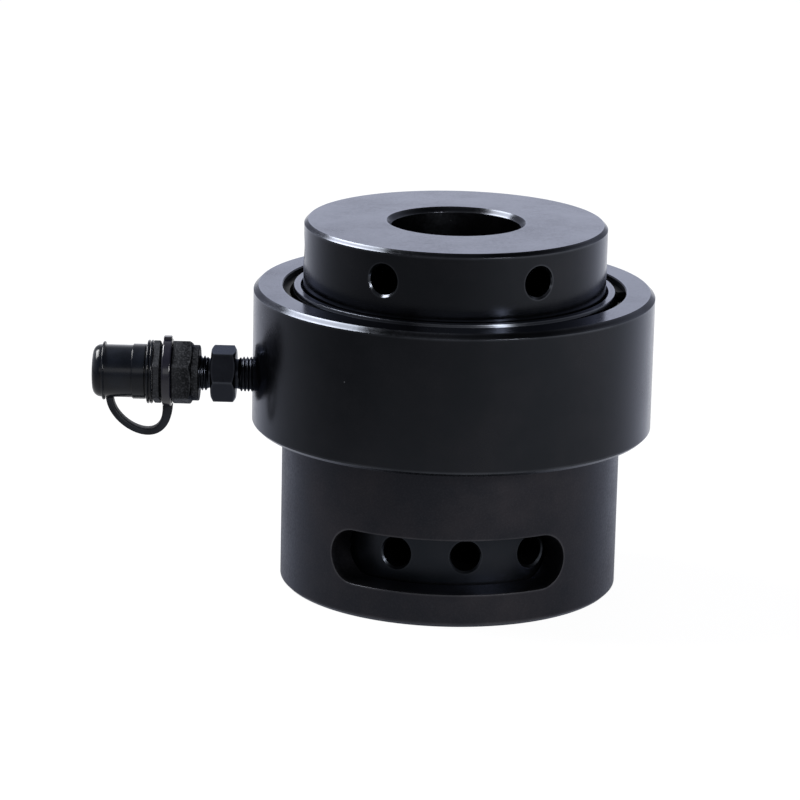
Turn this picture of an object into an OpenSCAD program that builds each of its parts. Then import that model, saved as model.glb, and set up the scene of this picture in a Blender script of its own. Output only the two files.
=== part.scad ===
// Hydraulic bolt tensioner: a bridge with a nut socket inside, a cylinder with an annular piston, a puller
// that screws onto the stud, and a quick-connect nipple under a tethered dust cap.
// Millimetres. +Z points up along the stud. The origin is the centre of the joint face under the bridge.
// The window faces -Y and the oil port faces -X. An azimuth is 0 at -Y and grows towards +X.

/* [Stud and nut] */
// Nominal diameter of the stud's thread
stud_d = 48; // [44:1:52]
// Pitch of the stud's thread
stud_pitch = 5; // [3:0.5:6]
// Width across flats of the nut on the stud
nut_af = 75; // [70:1:80]
// Play of the nut in the socket, across flats
nut_play = 0.6; // [0.2:0.1:1.5]

/* [Nut socket] */
// Wall of the socket at the corners of its hex
socket_wall = 6.35; // [5:0.05:9]
// Height of the bar holes and of the window, above the joint face
window_z = 22.8; // [20:0.1:26]
// Number of bar holes round the socket
socket_bar_count = 12; // [8:1:12]
// Azimuth of the first bar hole
socket_bar_turn = 7.7; // [0:0.1:30]
// Gap between the socket and the bridge's bore
socket_side_gap = 1.5; // [0.5:0.1:3]
// Gap between the socket and the spigot above it
socket_top_gap = 1; // [0.5:0.1:2]
// Chamfer on the edges of the socket
socket_edge = 1; // [0.3:0.1:2]

/* [Bridge] */
// Height of the bridge
bridge_h = 60.5; // [56:0.5:70]
// Wall of the bridge
bridge_wall = 12; // [10:0.5:16]
// Height of the lip that keeps the socket in
bridge_lip_h = 4; // [3:0.5:6]
// Width of that lip
bridge_lip_w = 4; // [2.5:0.5:6]
// Chamfer on the bridge's lower edge
bridge_edge = 1.2; // [0.5:0.1:3]
// Height of the window
window_h = 20.5; // [16:0.5:24]
// Azimuth of the window's end centres, either side of the middle
window_turn = 33; // [20:1:40]

/* [Bridge screws] */
// Diameter of the set screws
screw_d = 6; // [5:1:8]
// Length of the set screws
screw_len = 10; // [8:0.5:11]
// Drop of the set screws below the bridge's top
screw_drop = 6.5; // [6:0.5:8]
// Azimuth of the first set screw
screw_turn = -84; // [-90:1:-70]
// Width across flats of the set screws' hex socket
screw_key_af = 3; // [2:0.5:4]
// Depth of that hex socket
screw_key_depth = 3.5; // [2:0.5:5]

/* [Cylinder] */
// Height of the spigot that goes into the bridge
spigot_h = 13; // [12:0.5:16]
// Depth of the spigot's groove for the set screws
spigot_groove_depth = 3; // [2:0.5:5]
// Height of the cylinder's base, up to the piston's floor
base_h = 23.5; // [21:0.5:28]
// Wall of the cylinder round the piston
cyl_wall = 11; // [9:0.5:15]
// Wall of the hub inside the piston
hub_wall = 9.5; // [8:0.5:12]
// Chamfer on the cylinder's upper edge
cyl_top_edge = 1.8; // [0.5:0.1:3]
// Chamfer on the cylinder's lower edge
cyl_low_edge = 1.2; // [0.5:0.1:3]
// Wall above the stop ring's groove
stop_lip = 2.5; // [2:0.5:4]
// Thickness of the stop ring
stop_ring_h = 2; // [1.5:0.5:3]
// Depth of the stop ring's groove
stop_groove_depth = 1.8; // [1.5:0.1:3]
// Gap between the stop ring and the piston's neck
stop_ring_gap = 1.2; // [0.5:0.1:2]
// Opening of the stop ring, as an angle
stop_ring_open = 16; // [10:1:30]

/* [Piston] */
// Width of the piston, from the hub to the cylinder's bore
piston_width = 19.5; // [18:0.5:22]
// Stroke of the piston
piston_stroke = 10; // [8:0.5:15]
// Land at each end of the piston's sealed length
piston_end_land = 2.4; // [2:0.1:4]
// Land between the seal groove and the guide groove
piston_mid_land = 1.6; // [1:0.1:3]
// Width of the seals
seal_w = 3.4; // [3:0.1:4]
// Width of the back-up rings
backup_w = 1.4; // [1:0.1:2]
// Radial depth of the seals
seal_depth = 4.5; // [3.5:0.1:5.5]
// Width of the guide rings
guide_w = 2.8; // [2:0.1:4]
// Radial depth of the guide rings
guide_depth = 2.5; // [2:0.1:3.5]
// Gap between the hub's top and the puller's seat
hub_top_gap = 1.1; // [0.5:0.1:3]
// Gap between the piston's rim and the cylinder's bore
rim_gap = 3.7; // [3.2:0.1:5]
// Wall of the piston's rim
rim_wall = 2.9; // [2:0.1:4]
// Chamfer on the piston's edges
piston_edge = 0.4; // [0.2:0.1:1]
// Width of the oil groove under the piston
oil_groove_w = 8; // [5:0.5:9]
// Depth of that oil groove
oil_groove_depth = 2; // [1:0.5:3]

/* [Puller] */
// Wall of the puller's stem, outside the stud
stem_wall = 10; // [8:0.5:12]
// Gap between the stem and the hub
stem_gap = 1; // [0.5:0.1:2]
// Height of the puller's head, from its seat
head_h = 31; // [28:0.5:40]
// Gap between the head and the piston's rim
head_gap = 0.9; // [0.5:0.1:2]
// Length of the puller's thread
thread_len = 45; // [38:1:50]
// Depth of the lead-in below the thread
thread_lead = 3; // [2:0.5:5]
// Gap between the stud and the plain bore above the thread
relief_gap = 0.1; // [0.1:0.1:1]
// Chamfer on the mouth of the puller's bore
mouth_edge = 1.8; // [0.5:0.1:3]
// Chamfer on the head's upper edge
head_top_edge = 1.4; // [0.5:0.1:3]
// Chamfer on the head's lower edge
head_low_edge = 1; // [0.5:0.1:2]

/* [Tommy bar] */
// Diameter of the bar holes in the puller and the socket
bar_d = 11; // [10:0.5:13]
// Chamfer on the mouths of the bar holes
bar_edge = 0.5; // [0.3:0.1:1.5]
// Number of bar holes round the puller
puller_bar_count = 6; // [4:1:8]
// Azimuth of the puller's first bar hole
puller_bar_turn = -27.3; // [-60:0.1:0]
// Drop of the puller's bar holes below its top
puller_bar_drop = 11.7; // [10:0.1:13]
// Depth of the puller's bar holes
puller_bar_depth = 22; // [16:0.5:24]

/* [Oil port and adapter] */
// Height of the port above the cylinder's underside
port_rise = 16.7; // [15:0.1:18]
// Diameter of the port's thread
port_d = 13.157; // [10:0.001:16]
// Depth of the port
port_depth = 12; // [10:0.5:14]
// Diameter of the oil passage along the fitting
oil_d = 4; // [3:0.5:5]
// Diameter of the riser from that passage to the piston's floor
riser_d = 3.5; // [2.5:0.1:3.5]
// Thread of the adapter left in sight outside the cylinder
adapter_stand_off = 5.3; // [3:0.1:8]
// Width of the thread reliefs beside the adapter's hex
adapter_relief_w = 0.9; // [0.5:0.1:2]
// Depth of those reliefs
adapter_relief_depth = 1; // [0.5:0.1:1.5]
// Width of the flat rim that the hexes' chamfers leave inside the flats
hex_edge = 0.3; // [0.1:0.1:0.6]
// Width across flats of the adapter's hex
adapter_af = 19; // [17:1:22]
// Length of the adapter's hex
adapter_hex_len = 9.3; // [7:0.1:12]
// Turn of the adapter's hex about its axis
adapter_turn = -35.3; // [-60:0.1:0]
// Thread of the adapter left in sight before the coupler
adapter_gap = 3.5; // [2:0.1:6]
// Depth of the adapter's thread in the coupler
adapter_depth = 7.5; // [6:0.5:9]

/* [Coupler] */
// Diameter of the coupler's collar
collar_d = 21; // [18:0.5:22]
// Length of the coupler's collar
collar_len = 2.6; // [2:0.1:4]
// Width across flats of the coupler's hex
coupler_af = 22; // [21:1:27]
// Length of the coupler's hex
coupler_hex_len = 14.6; // [13:0.1:18]
// Turn of the coupler's hex about its axis
coupler_turn = -6.9; // [-60:0.1:0]
// Wall between the coupler's two threads
coupler_web = 1.5; // [1:0.1:2]
// Width of the groove for the strap's ring
groove_w = 4.4; // [3:0.1:5]
// Distance of that groove from the coupler's front face
groove_set = 2.7; // [2:0.1:4]
// Diameter at the bottom of that groove
groove_d = 19.2; // [18:0.1:20]

/* [Nipple and poppet] */
// Diameter of the nipple's thread in the coupler
nipple_thread_d = 14; // [13:0.5:15]
// Diameter of the nipple's body
nipple_d = 16; // [15.5:0.5:17]
// Length of the nipple's body, from the coupler to the tip's shoulder
nipple_len = 12; // [10:0.5:14]
// Diameter of the nipple's tip
tip_d = 12; // [11:0.5:13]
// Length of the nipple's tip
tip_len = 6.9; // [6:0.1:9]
// Width of the locking groove round the nipple's body
lock_w = 3; // [2:0.5:4]
// Depth of that locking groove
lock_depth = 1; // [0.5:0.1:1.5]
// Distance of the locking groove from the tip's shoulder
lock_set = 2; // [1.5:0.5:4]
// Section of the O-ring behind the nipple
o_ring_d = 1.8; // [1.4:0.1:2]
// Diameter of the poppet's chamber
chamber_d = 8.4; // [8:0.1:9]
// Diameter of the nipple's mouth
nipple_mouth_d = 5.2; // [4.5:0.1:6]
// Diameter of the poppet's head
poppet_d = 7.2; // [6.5:0.1:7.6]
// Length of the poppet's head, behind its cone
poppet_len = 5.5; // [4:0.5:7]
// Diameter of the poppet's stem
poppet_stem_d = 2.4; // [2:0.1:3]
// Gap between the poppet's cone and its seat
poppet_seat_gap = 0.3; // [0.2:0.1:0.5]
// Set-back of the poppet's nose from the nipple's face
poppet_nose_set = 1; // [0.5:0.5:2]
// Width of the poppet's seal
poppet_seal_w = 1.4; // [1:0.1:2]
// Depth of the poppet's groove for that seal
poppet_seal_depth = 1.2; // [0.8:0.1:1.5]
// Diameter of the poppet's nose
poppet_nose_d = 4; // [3:0.1:4.2]
// Thickness of the poppet guide's disc
guide_disc_h = 1.5; // [1:0.1:2]
// Length of the poppet guide's hub
guide_hub_len = 3; // [2:0.5:4]
// Wall of the poppet guide's hub
guide_hub_wall = 0.7; // [0.5:0.1:0.9]
// Width of the rim that the poppet guide sits on
guide_rim_w = 0.3; // [0.2:0.05:0.4]
// Depth of the dish inside that rim
guide_dish_h = 0.5; // [0.3:0.1:0.8]
// Diameter of the flow holes in the poppet guide
flow_d = 1.2; // [0.8:0.1:1.4]
// Number of flow holes in the poppet guide
flow_count = 6; // [3:1:8]
// Wire of the poppet's spring
wire_d = 0.9; // [0.6:0.1:1.1]
// Coils of the poppet's spring
spring_coils = 6; // [4:1:8]

/* [Dust cap] */
// Diameter of the cap's grip flange
cap_flange_d = 24; // [22.5:0.5:27]
// Length of that flange
cap_flange_len = 2.1; // [1.5:0.1:3]
// Width of the neck behind the flange
cap_neck_len = 0.6; // [0.4:0.1:1.5]
// Diameter of the band in front of the neck
cap_band_d = 20.8; // [20.4:0.1:22]
// Length of that band
cap_band_len = 4.9; // [3:0.1:7]
// Diameter of the cap's body
cap_d = 19.8; // [19.6:0.1:20.4]
// Diameter of the lip that holds the strap
cap_lip_d = 22.1; // [21:0.1:24]
// Length of that lip
cap_lip_len = 0.9; // [0.6:0.1:2]
// Wall of the cap's crown
cap_crown = 3.8; // [3:0.1:5]
// Rounding of the crown's edge
cap_round = 3.2; // [1:0.1:3.5]
// Play between the cap and the nipple
cap_play = 0.3; // [0.3:0.1:0.6]

/* [Cap strap] */
// Diameter of the strap's ring
strap_ring_d = 25.8; // [25:0.1:28]
// Play of the strap's ring in its groove
strap_ring_play = 0.2; // [0.1:0.1:0.4]
// Room left in the groove beside the strap ring, towards the cap
strap_ring_room = 0.8; // [0.2:0.1:1]
// Height of the tab on the ring
tab_h = 1; // [0.5:0.1:2]
// Width of that tab
tab_w = 3.2; // [2:0.1:4]
// Thickness of the strap
strap_t = 2.7; // [1.5:0.1:3]
// Width of the strap
strap_w = 5; // [4:0.5:6]
// Pull of the strap's curve below the ring
strap_ring_sag = 18.6; // [12:0.1:20]
// Pull of the strap's curve below the cap
strap_cap_sag = 10; // [5:0.1:12]
// Lean of the strap's curve at the cap
strap_cap_lean = 2.1; // [0:0.1:4]

/* [Fits] */
// Radial clearance of pieces that slide or turn in one another
running_fit = 0.05; // [0.02:0.01:0.1]
// Clearance of pieces that are screwed or pushed together
seat_fit = 0.05; // [0.02:0.01:0.1]
// Side clearance of rings in their grooves
ring_fit = 0.1; // [0.05:0.05:0.2]

/* [Hidden] */
$fn = 96;
// Overrun of a cutter past the face it cuts
over = 1;
// Depth of an ISO thread's flanks, as a share of its pitch
thread_share = 0.54127;

// Radii, from the stud outwards
thread_r = stud_d / 2 - thread_share * stud_pitch;
relief_r = stud_d / 2 + relief_gap;
stem_r = stud_d / 2 + stem_wall;
hub_bore_r = stem_r + stem_gap;
hub_r = hub_bore_r + hub_wall;
cyl_bore_r = hub_r + piston_width;
cyl_r = cyl_bore_r + cyl_wall;
rim_r = cyl_bore_r - rim_gap;
rim_bore_r = rim_r - rim_wall;
head_r = rim_bore_r - head_gap;
oil_r = hub_r + piston_width / 2;
hex_af = nut_af + nut_play;
hex_r = hex_af / 2 / cos(30);
socket_r = hex_r + socket_wall;
bridge_bore_r = socket_r + socket_side_gap;
bridge_r = bridge_bore_r + bridge_wall;
lip_r = bridge_bore_r - bridge_lip_w;
spigot_r = bridge_bore_r - seat_fit;

// Heights, from the joint face upwards
spigot_z = bridge_h - spigot_h;
socket_top_z = spigot_z - socket_top_gap;
screw_z = bridge_h - screw_drop;
floor_z = bridge_h + base_h;
seal_groove_w = seal_w + backup_w + 2 * ring_fit;
guide_groove_w = guide_w + 2 * ring_fit;
seal_z = floor_z + piston_end_land;
backup_z = seal_z + ring_fit + seal_w;
guide_z = seal_z + seal_groove_w + piston_mid_land;
land_z = guide_z + guide_groove_w + piston_end_land;
stop_groove_z = land_z + piston_stroke;
stop_ring_z = stop_groove_z + ring_fit;
stop_groove_top_z = stop_ring_z + stop_ring_h + ring_fit;
cyl_top_z = stop_groove_top_z + stop_lip;
hub_top_z = guide_z + guide_groove_w + piston_stroke;
seat_z = hub_top_z + hub_top_gap;
head_top_z = seat_z + head_h;
thread_z = spigot_z + thread_lead;
puller_bar_z = head_top_z - puller_bar_drop;
port_z = bridge_h + port_rise;

// Distances from the stud's axis along the fitting
port_end = cyl_r - port_depth;
adapter_hex_s = cyl_r + adapter_stand_off + adapter_relief_w;
adapter_front = adapter_hex_s + adapter_hex_len;
coupler_s = adapter_front + adapter_relief_w + adapter_gap;
coupler_hex_s = coupler_s + collar_len;
coupler_end = coupler_hex_s + coupler_hex_len;
web_s = coupler_s + adapter_depth;
web_end = web_s + coupler_web;
groove_end = coupler_end - groove_set;
ring_end = groove_end - strap_ring_room;
ring_w = groove_w - strap_ring_play - strap_ring_room;
ring_mid = ring_end - ring_w / 2;
tip_s = coupler_end + nipple_len;
nipple_end = tip_s + tip_len;
seat_cone_len = (chamber_d - nipple_mouth_d) / 2;
seat_s = nipple_end - tip_len / 2;
poppet_s = seat_s - poppet_len;
poppet_cone_s = seat_s + (chamber_d - poppet_d) / 2 - poppet_seat_gap * sqrt(2);
poppet_groove_end = seat_s - poppet_seal_w / 2;
poppet_groove_s = poppet_groove_end - poppet_seal_w - 2 * ring_fit;
poppet_nose_end = nipple_end - poppet_nose_set;
guide_hub_r = poppet_stem_d / 2 + running_fit + guide_hub_wall;
guide_face = web_end + guide_disc_h;
poppet_stem_s = guide_face - guide_disc_h / 2;
flow_r = (guide_hub_r + chamber_d / 2) / 2;
spring_r = (guide_hub_r + poppet_d / 2) / 2;
cap_s = coupler_end + cap_play;
cap_neck_s = cap_s + cap_flange_len;
cap_band_s = cap_neck_s + cap_neck_len;
cap_body_s = cap_band_s + cap_band_len;
cap_floor_s = nipple_end + cap_play;
cap_end = cap_floor_s + cap_crown;
cap_lip_s = cap_floor_s - cap_lip_len;
cap_bore_r = nipple_d / 2 + cap_play;
cap_tip_r = tip_d / 2 + cap_play;

// Colours, as the pieces look
blued = [0.10, 0.10, 0.12];
browned = [0.14, 0.13, 0.13];
phosphated = [0.16, 0.16, 0.17];
bright_steel = [0.62, 0.63, 0.66];
spring_steel = [0.45, 0.46, 0.48];
seal_blue = [0.16, 0.28, 0.50];
ring_white = [0.88, 0.86, 0.80];
guide_brown = [0.45, 0.30, 0.18];
black_rubber = [0.07, 0.07, 0.08];

// Turns a profile of [radius, height] points about the Z axis
module revolve(profile) {
  rotate_extrude() polygon(profile);
}

// Ring with a plain rectangular section
module annulus(r_in, r_out, z_low, z_high) {
  revolve([[r_in, z_low], [r_out, z_low], [r_out, z_high], [r_in, z_high]]);
}

// Round bar from one height to another
module bar(r, z_low, z_high) {
  translate([0, 0, z_low]) cylinder(r = r, h = z_high - z_low);
}

// Puts a shape drawn along +Z on the fitting's axis, pointing out of the port
module along_port() {
  translate([0, 0, port_z]) rotate([0, -90, 0]) children();
}

// Puts a shape drawn along +Z at a height, pointing out from the stud's axis
module radial(azimuth, z) {
  translate([0, 0, z]) rotate([0, 0, azimuth]) rotate([90, 0, 0]) children();
}

// Cutter for a bar hole with a chamfered mouth in a round face of radius face_r
module bar_hole(face_r, end_r) {
  hole_r = bar_d / 2;
  edge_r = hole_r + bar_edge;
  edge_s = sqrt(face_r * face_r - edge_r * edge_r);
  cone_h = bar_edge + face_r - edge_s + over;
  bar(hole_r, end_r, face_r + over);
  translate([0, 0, edge_s - bar_edge]) cylinder(r1 = hole_r, r2 = hole_r + cone_h, h = cone_h);
}

// Hex bar with its corners turned off at the low end, and at the high end too if both_ends is set
module hex_form(af, z_low, z_high, both_ends) {
  corner_r = af / 2 / cos(30);
  far_r = corner_r + over;
  face_r = af / 2 - hex_edge;
  rise = (far_r - face_r) * tan(30);
  high_end = both_ends ? [[far_r, z_high - rise], [face_r, z_high]] : [[far_r, z_high]];
  intersection() {
    translate([0, 0, z_low]) cylinder(r = corner_r, h = z_high - z_low, $fn = 6);
    revolve(concat([[0, z_low], [face_r, z_low], [far_r, z_low + rise]], high_end, [[0, z_high]]));
  }
}

// Slot milled through the bridge with a round cutter, swept about the stud's axis
module window_cut() {
  cut_r = window_h / 2;
  inner_r = lip_r;
  outer_r = bridge_r + over;
  translate([0, 0, window_z]) rotate([0, 0, -90 - window_turn]) rotate_extrude(angle = 2 * window_turn)
    translate([inner_r, -cut_r]) square([outer_r - inner_r, window_h]);
  for (side = [-1, 1])
    radial(side * window_turn, window_z) bar(cut_r, inner_r, outer_r);
}

module bridge() {
  color(browned) difference() {
    revolve([[lip_r, 0], [bridge_r - bridge_edge, 0], [bridge_r, bridge_edge], [bridge_r, bridge_h],
      [bridge_bore_r, bridge_h], [bridge_bore_r, bridge_lip_h], [lip_r, bridge_lip_h]]);
    window_cut();
    for (turn = [0, 180])
      radial(screw_turn + turn, screw_z) bar(screw_d / 2 + seat_fit, lip_r, bridge_r + over);
  }
}

module bridge_set_screws() {
  tip_r = spigot_r - spigot_groove_depth + ring_fit;
  color(blued) for (turn = [0, 180])
    radial(screw_turn + turn, screw_z) difference() {
      bar(screw_d / 2, tip_r, tip_r + screw_len);
      translate([0, 0, tip_r + screw_len - screw_key_depth])
        cylinder(r = screw_key_af / 2 / cos(30), h = screw_key_depth + over, $fn = 6);
    }
}

module nut_socket() {
  low_z = bridge_lip_h;
  color(blued) difference() {
    revolve([[0, low_z], [socket_r - socket_edge, low_z], [socket_r, low_z + socket_edge],
      [socket_r, socket_top_z - socket_edge], [socket_r - socket_edge, socket_top_z], [0, socket_top_z]]);
    translate([0, 0, low_z - over]) cylinder(r = hex_r, h = socket_top_z - low_z + 2 * over, $fn = 6);
    for (i = [0 : socket_bar_count - 1])
      radial(socket_bar_turn + i * 360 / socket_bar_count, window_z) bar_hole(socket_r, hex_af / 2 - over);
  }
}

module cylinder_outline() {
  revolve([[hub_bore_r, spigot_z], [spigot_r, spigot_z], [spigot_r, bridge_h],
    [cyl_r - cyl_low_edge, bridge_h], [cyl_r, bridge_h + cyl_low_edge],
    [cyl_r, cyl_top_z - cyl_top_edge], [cyl_r - cyl_top_edge, cyl_top_z],
    [cyl_bore_r + piston_edge, cyl_top_z], [cyl_bore_r, cyl_top_z - piston_edge], [cyl_bore_r, floor_z],
    [hub_r, floor_z], [hub_r, hub_top_z], [hub_bore_r, hub_top_z]]);
}

module cylinder_body() {
  groove_half = screw_d / 2 + ring_fit;
  color(blued) difference() {
    cylinder_outline();
    annulus(spigot_r - spigot_groove_depth, spigot_r + over, screw_z - groove_half, screw_z + groove_half);
    annulus(cyl_bore_r - over, cyl_bore_r + stop_groove_depth, stop_groove_z, stop_groove_top_z);
    along_port() bar(port_d / 2 + seat_fit, port_end, cyl_r + over);
    along_port() bar(oil_d / 2, oil_r - oil_d / 2, port_end + over);
    translate([-oil_r, 0, port_z]) cylinder(d = riser_d, h = floor_z - port_z + over);
  }
}

module piston_stop_ring() {
  ring_r = cyl_bore_r + stop_groove_depth - ring_fit;
  bore_r = rim_r + stop_ring_gap;
  color(spring_steel) rotate([0, 0, stop_ring_open / 2]) rotate_extrude(angle = 360 - stop_ring_open)
    translate([bore_r, stop_ring_z]) square([ring_r - bore_r, stop_ring_h]);
}

module piston() {
  outer_r = cyl_bore_r - running_fit;
  inner_r = hub_r + running_fit;
  color(blued) difference() {
    revolve([[inner_r, floor_z], [outer_r - piston_edge, floor_z], [outer_r, floor_z + piston_edge],
      [outer_r, land_z], [rim_r, land_z], [rim_r, cyl_top_z - piston_edge], [rim_r - piston_edge, cyl_top_z],
      [rim_bore_r + piston_edge, cyl_top_z], [rim_bore_r, cyl_top_z - piston_edge], [rim_bore_r, seat_z],
      [inner_r, seat_z]]);
    annulus(oil_r - oil_groove_w / 2, oil_r + oil_groove_w / 2, floor_z - over, floor_z + oil_groove_depth);
    annulus(cyl_bore_r - seal_depth, cyl_bore_r + over, seal_z, seal_z + seal_groove_w);
    annulus(cyl_bore_r - guide_depth, cyl_bore_r + over, guide_z, guide_z + guide_groove_w);
    annulus(hub_r - over, hub_r + seal_depth, seal_z, seal_z + seal_groove_w);
    annulus(hub_r - over, hub_r + guide_depth, guide_z, guide_z + guide_groove_w);
  }
}

// Ring in one of the piston's outer grooves
module outer_ring(depth, z_low, w) {
  annulus(cyl_bore_r - depth + seat_fit, cyl_bore_r - running_fit, z_low, z_low + w);
}

// Ring in one of the piston's inner grooves
module inner_ring(depth, z_low, w) {
  annulus(hub_r + running_fit, hub_r + depth - seat_fit, z_low, z_low + w);
}

module outer_piston_seal() {
  color(seal_blue) outer_ring(seal_depth, seal_z + ring_fit, seal_w);
}

module outer_backup_ring() {
  color(ring_white) outer_ring(seal_depth, backup_z, backup_w);
}

module outer_guide_ring() {
  color(guide_brown) outer_ring(guide_depth, guide_z + ring_fit, guide_w);
}

module inner_piston_seal() {
  color(seal_blue) inner_ring(seal_depth, seal_z + ring_fit, seal_w);
}

module inner_backup_ring() {
  color(ring_white) inner_ring(seal_depth, backup_z, backup_w);
}

module inner_guide_ring() {
  color(guide_brown) inner_ring(guide_depth, guide_z + ring_fit, guide_w);
}

module puller() {
  thread_top_z = thread_z + thread_len;
  color(blued) difference() {
    revolve([[relief_r, spigot_z], [stem_r - head_low_edge, spigot_z], [stem_r, spigot_z + head_low_edge],
      [stem_r, seat_z], [head_r - head_low_edge, seat_z], [head_r, seat_z + head_low_edge],
      [head_r, head_top_z - head_top_edge], [head_r - head_top_edge, head_top_z],
      [relief_r + mouth_edge, head_top_z], [relief_r, head_top_z - mouth_edge],
      [relief_r, thread_top_z + relief_r - thread_r], [thread_r, thread_top_z], [thread_r, thread_z]]);
    for (i = [0 : puller_bar_count - 1])
      radial(puller_bar_turn + i * 360 / puller_bar_count, puller_bar_z)
        bar_hole(head_r, head_r - puller_bar_depth);
  }
}

module port_adapter() {
  thread_end_r = port_d / 2;
  relief = thread_end_r - adapter_relief_depth;
  color(blued) along_port() difference() {
    union() {
      bar(thread_end_r, port_end, cyl_r + adapter_stand_off);
      bar(relief, cyl_r, coupler_s);
      rotate([0, 0, adapter_turn]) hex_form(adapter_af, adapter_hex_s, adapter_front, true);
      bar(thread_end_r, adapter_front + adapter_relief_w, web_s);
    }
    bar(oil_d / 2, port_end - over, web_s + over);
  }
}

module coupler_body() {
  color(phosphated) along_port() difference() {
    union() {
      bar(collar_d / 2, coupler_s, coupler_hex_s + over);
      rotate([0, 0, coupler_turn]) hex_form(coupler_af, coupler_hex_s, coupler_end, false);
    }
    annulus(groove_d / 2, coupler_af, groove_end - groove_w, groove_end);
    bar(port_d / 2 + seat_fit, coupler_s - over, web_s);
    bar(oil_d / 2, web_s - over, web_end + over);
    bar(nipple_thread_d / 2 + seat_fit, web_end, coupler_end + over);
  }
}

module coupler_nipple() {
  body_r = nipple_d / 2;
  tail_r = nipple_thread_d / 2 - o_ring_d - ring_fit;
  thread_start = web_end + o_ring_d + 2 * ring_fit;
  lock_end = tip_s - lock_set;
  color(bright_steel) along_port() revolve([[chamber_d / 2, web_end + ring_fit], [tail_r, web_end + ring_fit],
    [tail_r, thread_start], [nipple_thread_d / 2, thread_start], [nipple_thread_d / 2, coupler_end],
    [body_r, coupler_end], [body_r, lock_end - lock_w], [body_r - lock_depth, lock_end - lock_w],
    [body_r - lock_depth, lock_end], [body_r, lock_end], [body_r, tip_s - lock_depth], [tip_d / 2, tip_s],
    [tip_d / 2, nipple_end - lock_depth], [tip_d / 2 - lock_depth, nipple_end],
    [nipple_mouth_d / 2, nipple_end], [nipple_mouth_d / 2, seat_s + seat_cone_len], [chamber_d / 2, seat_s]]);
}

module coupler_o_ring() {
  section_r = o_ring_d / 2;
  middle_r = nipple_thread_d / 2 - section_r;
  color(black_rubber) along_port() translate([0, 0, web_end + ring_fit + section_r])
    rotate_extrude() translate([middle_r, 0]) circle(r = section_r);
}

module poppet_guide() {
  disc_r = chamber_d / 2 - seat_fit;
  color(bright_steel) along_port() difference() {
    union() {
      bar(disc_r, web_end, guide_face);
      bar(guide_hub_r, web_end, guide_face + guide_hub_len);
    }
    bar(poppet_stem_d / 2 + running_fit, web_end - over, guide_face + guide_hub_len + over);
    bar(disc_r - guide_rim_w, web_end - over, web_end + guide_dish_h);
    for (i = [0 : flow_count - 1])
      rotate([0, 0, i * 360 / flow_count]) translate([flow_r, 0, 0])
        bar(flow_d / 2, web_end, guide_face + over);
  }
}

// Coil spring: rings of points round a helix, joined by faces
module coil(mean_r, wire_r, height, coils) {
  sides = 8;
  steps = coils * 18;
  rings = [for (i = [0 : steps], k = [0 : sides - 1])
    let (turn = i * 360 * coils / steps, side = k * 360 / sides, r = mean_r + wire_r * cos(side))
    [r * cos(turn), r * sin(turn), wire_r * sin(side) + height * i / steps]];
  walls = [for (i = [0 : steps - 1], k = [0 : sides - 1])
    let (a = i * sides + k, b = i * sides + (k + 1) % sides) [a, b, b + sides, a + sides]];
  start = [for (k = [sides - 1 : -1 : 0]) k];
  finish = [for (k = [0 : sides - 1]) steps * sides + k];
  polyhedron(rings, concat([start], walls, [finish]));
}

module poppet_spring() {
  wire_r = wire_d / 2;
  low = guide_face + wire_r + ring_fit;
  high = poppet_s - wire_r - ring_fit;
  color(spring_steel) along_port() translate([0, 0, low]) coil(spring_r, wire_r, high - low, spring_coils);
}

module poppet() {
  stem = poppet_stem_d / 2;
  head = poppet_d / 2;
  nose = poppet_nose_d / 2;
  groove_r = head - poppet_seal_depth;
  color(bright_steel) along_port() revolve([[0, poppet_stem_s], [stem, poppet_stem_s], [stem, poppet_s],
    [head, poppet_s], [head, poppet_groove_s], [groove_r, poppet_groove_s], [groove_r, poppet_groove_end],
    [head, poppet_groove_end], [head, poppet_cone_s], [nose, poppet_cone_s + head - nose],
    [nose, poppet_nose_end], [0, poppet_nose_end]]);
}

module poppet_seal() {
  groove_r = poppet_d / 2 - poppet_seal_depth;
  color(black_rubber) along_port() annulus(groove_r + seat_fit, chamber_d / 2 - poppet_seat_gap,
    poppet_groove_s + ring_fit, poppet_groove_end - ring_fit);
}

module strap_ring() {
  inner_r = groove_d / 2 + strap_ring_play;
  outer_r = strap_ring_d / 2;
  edge = strap_ring_play * 2;
  start = ring_end - ring_w;
  tab_len = ring_w - strap_ring_play;
  color(black_rubber) along_port() union() {
    revolve([[inner_r, start], [outer_r - edge, start], [outer_r, start + edge], [outer_r, ring_end - edge],
      [outer_r - edge, ring_end], [inner_r, ring_end]]);
    translate([inner_r + edge, -tab_w / 2, ring_mid - tab_len / 2])
      cube([outer_r - inner_r - edge + tab_h, tab_w, tab_len]);
  }
}

// Point of a cubic curve through its first and last control points
function curve_point(p, t) =
  pow(1 - t, 3) * p[0] + 3 * pow(1 - t, 2) * t * p[1] + 3 * (1 - t) * t * t * p[2] + t * t * t * p[3];

// Direction across that curve, of length 1
function curve_across(p, t) =
  let (d = pow(1 - t, 2) * (p[1] - p[0]) + 2 * (1 - t) * t * (p[2] - p[1]) + t * t * (p[3] - p[2]))
  [-d[1], d[0]] / norm(d);

module cap_strap() {
  steps = 28;
  from_ring = [-strap_ring_d / 2 - seat_fit, ring_mid];
  to_cap = [-cap_d / 2 - 2 * cap_play, cap_lip_s - cap_play - strap_t / 2];
  line = [from_ring, from_ring - [strap_ring_sag, 0], to_cap - [strap_cap_sag, strap_cap_lean], to_cap];
  middle = [for (i = [0 : steps]) curve_point(line, i / steps)];
  half = [for (i = [0 : steps]) curve_across(line, i / steps) * strap_t / 2];
  near_side = [for (i = [0 : steps]) middle[i] + half[i]];
  far_side = [for (i = [steps : -1 : 0]) middle[i] - half[i]];
  color(black_rubber) along_port() rotate([90, 0, 0])
    linear_extrude(height = strap_w, center = true) polygon(concat(near_side, far_side));
}

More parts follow.
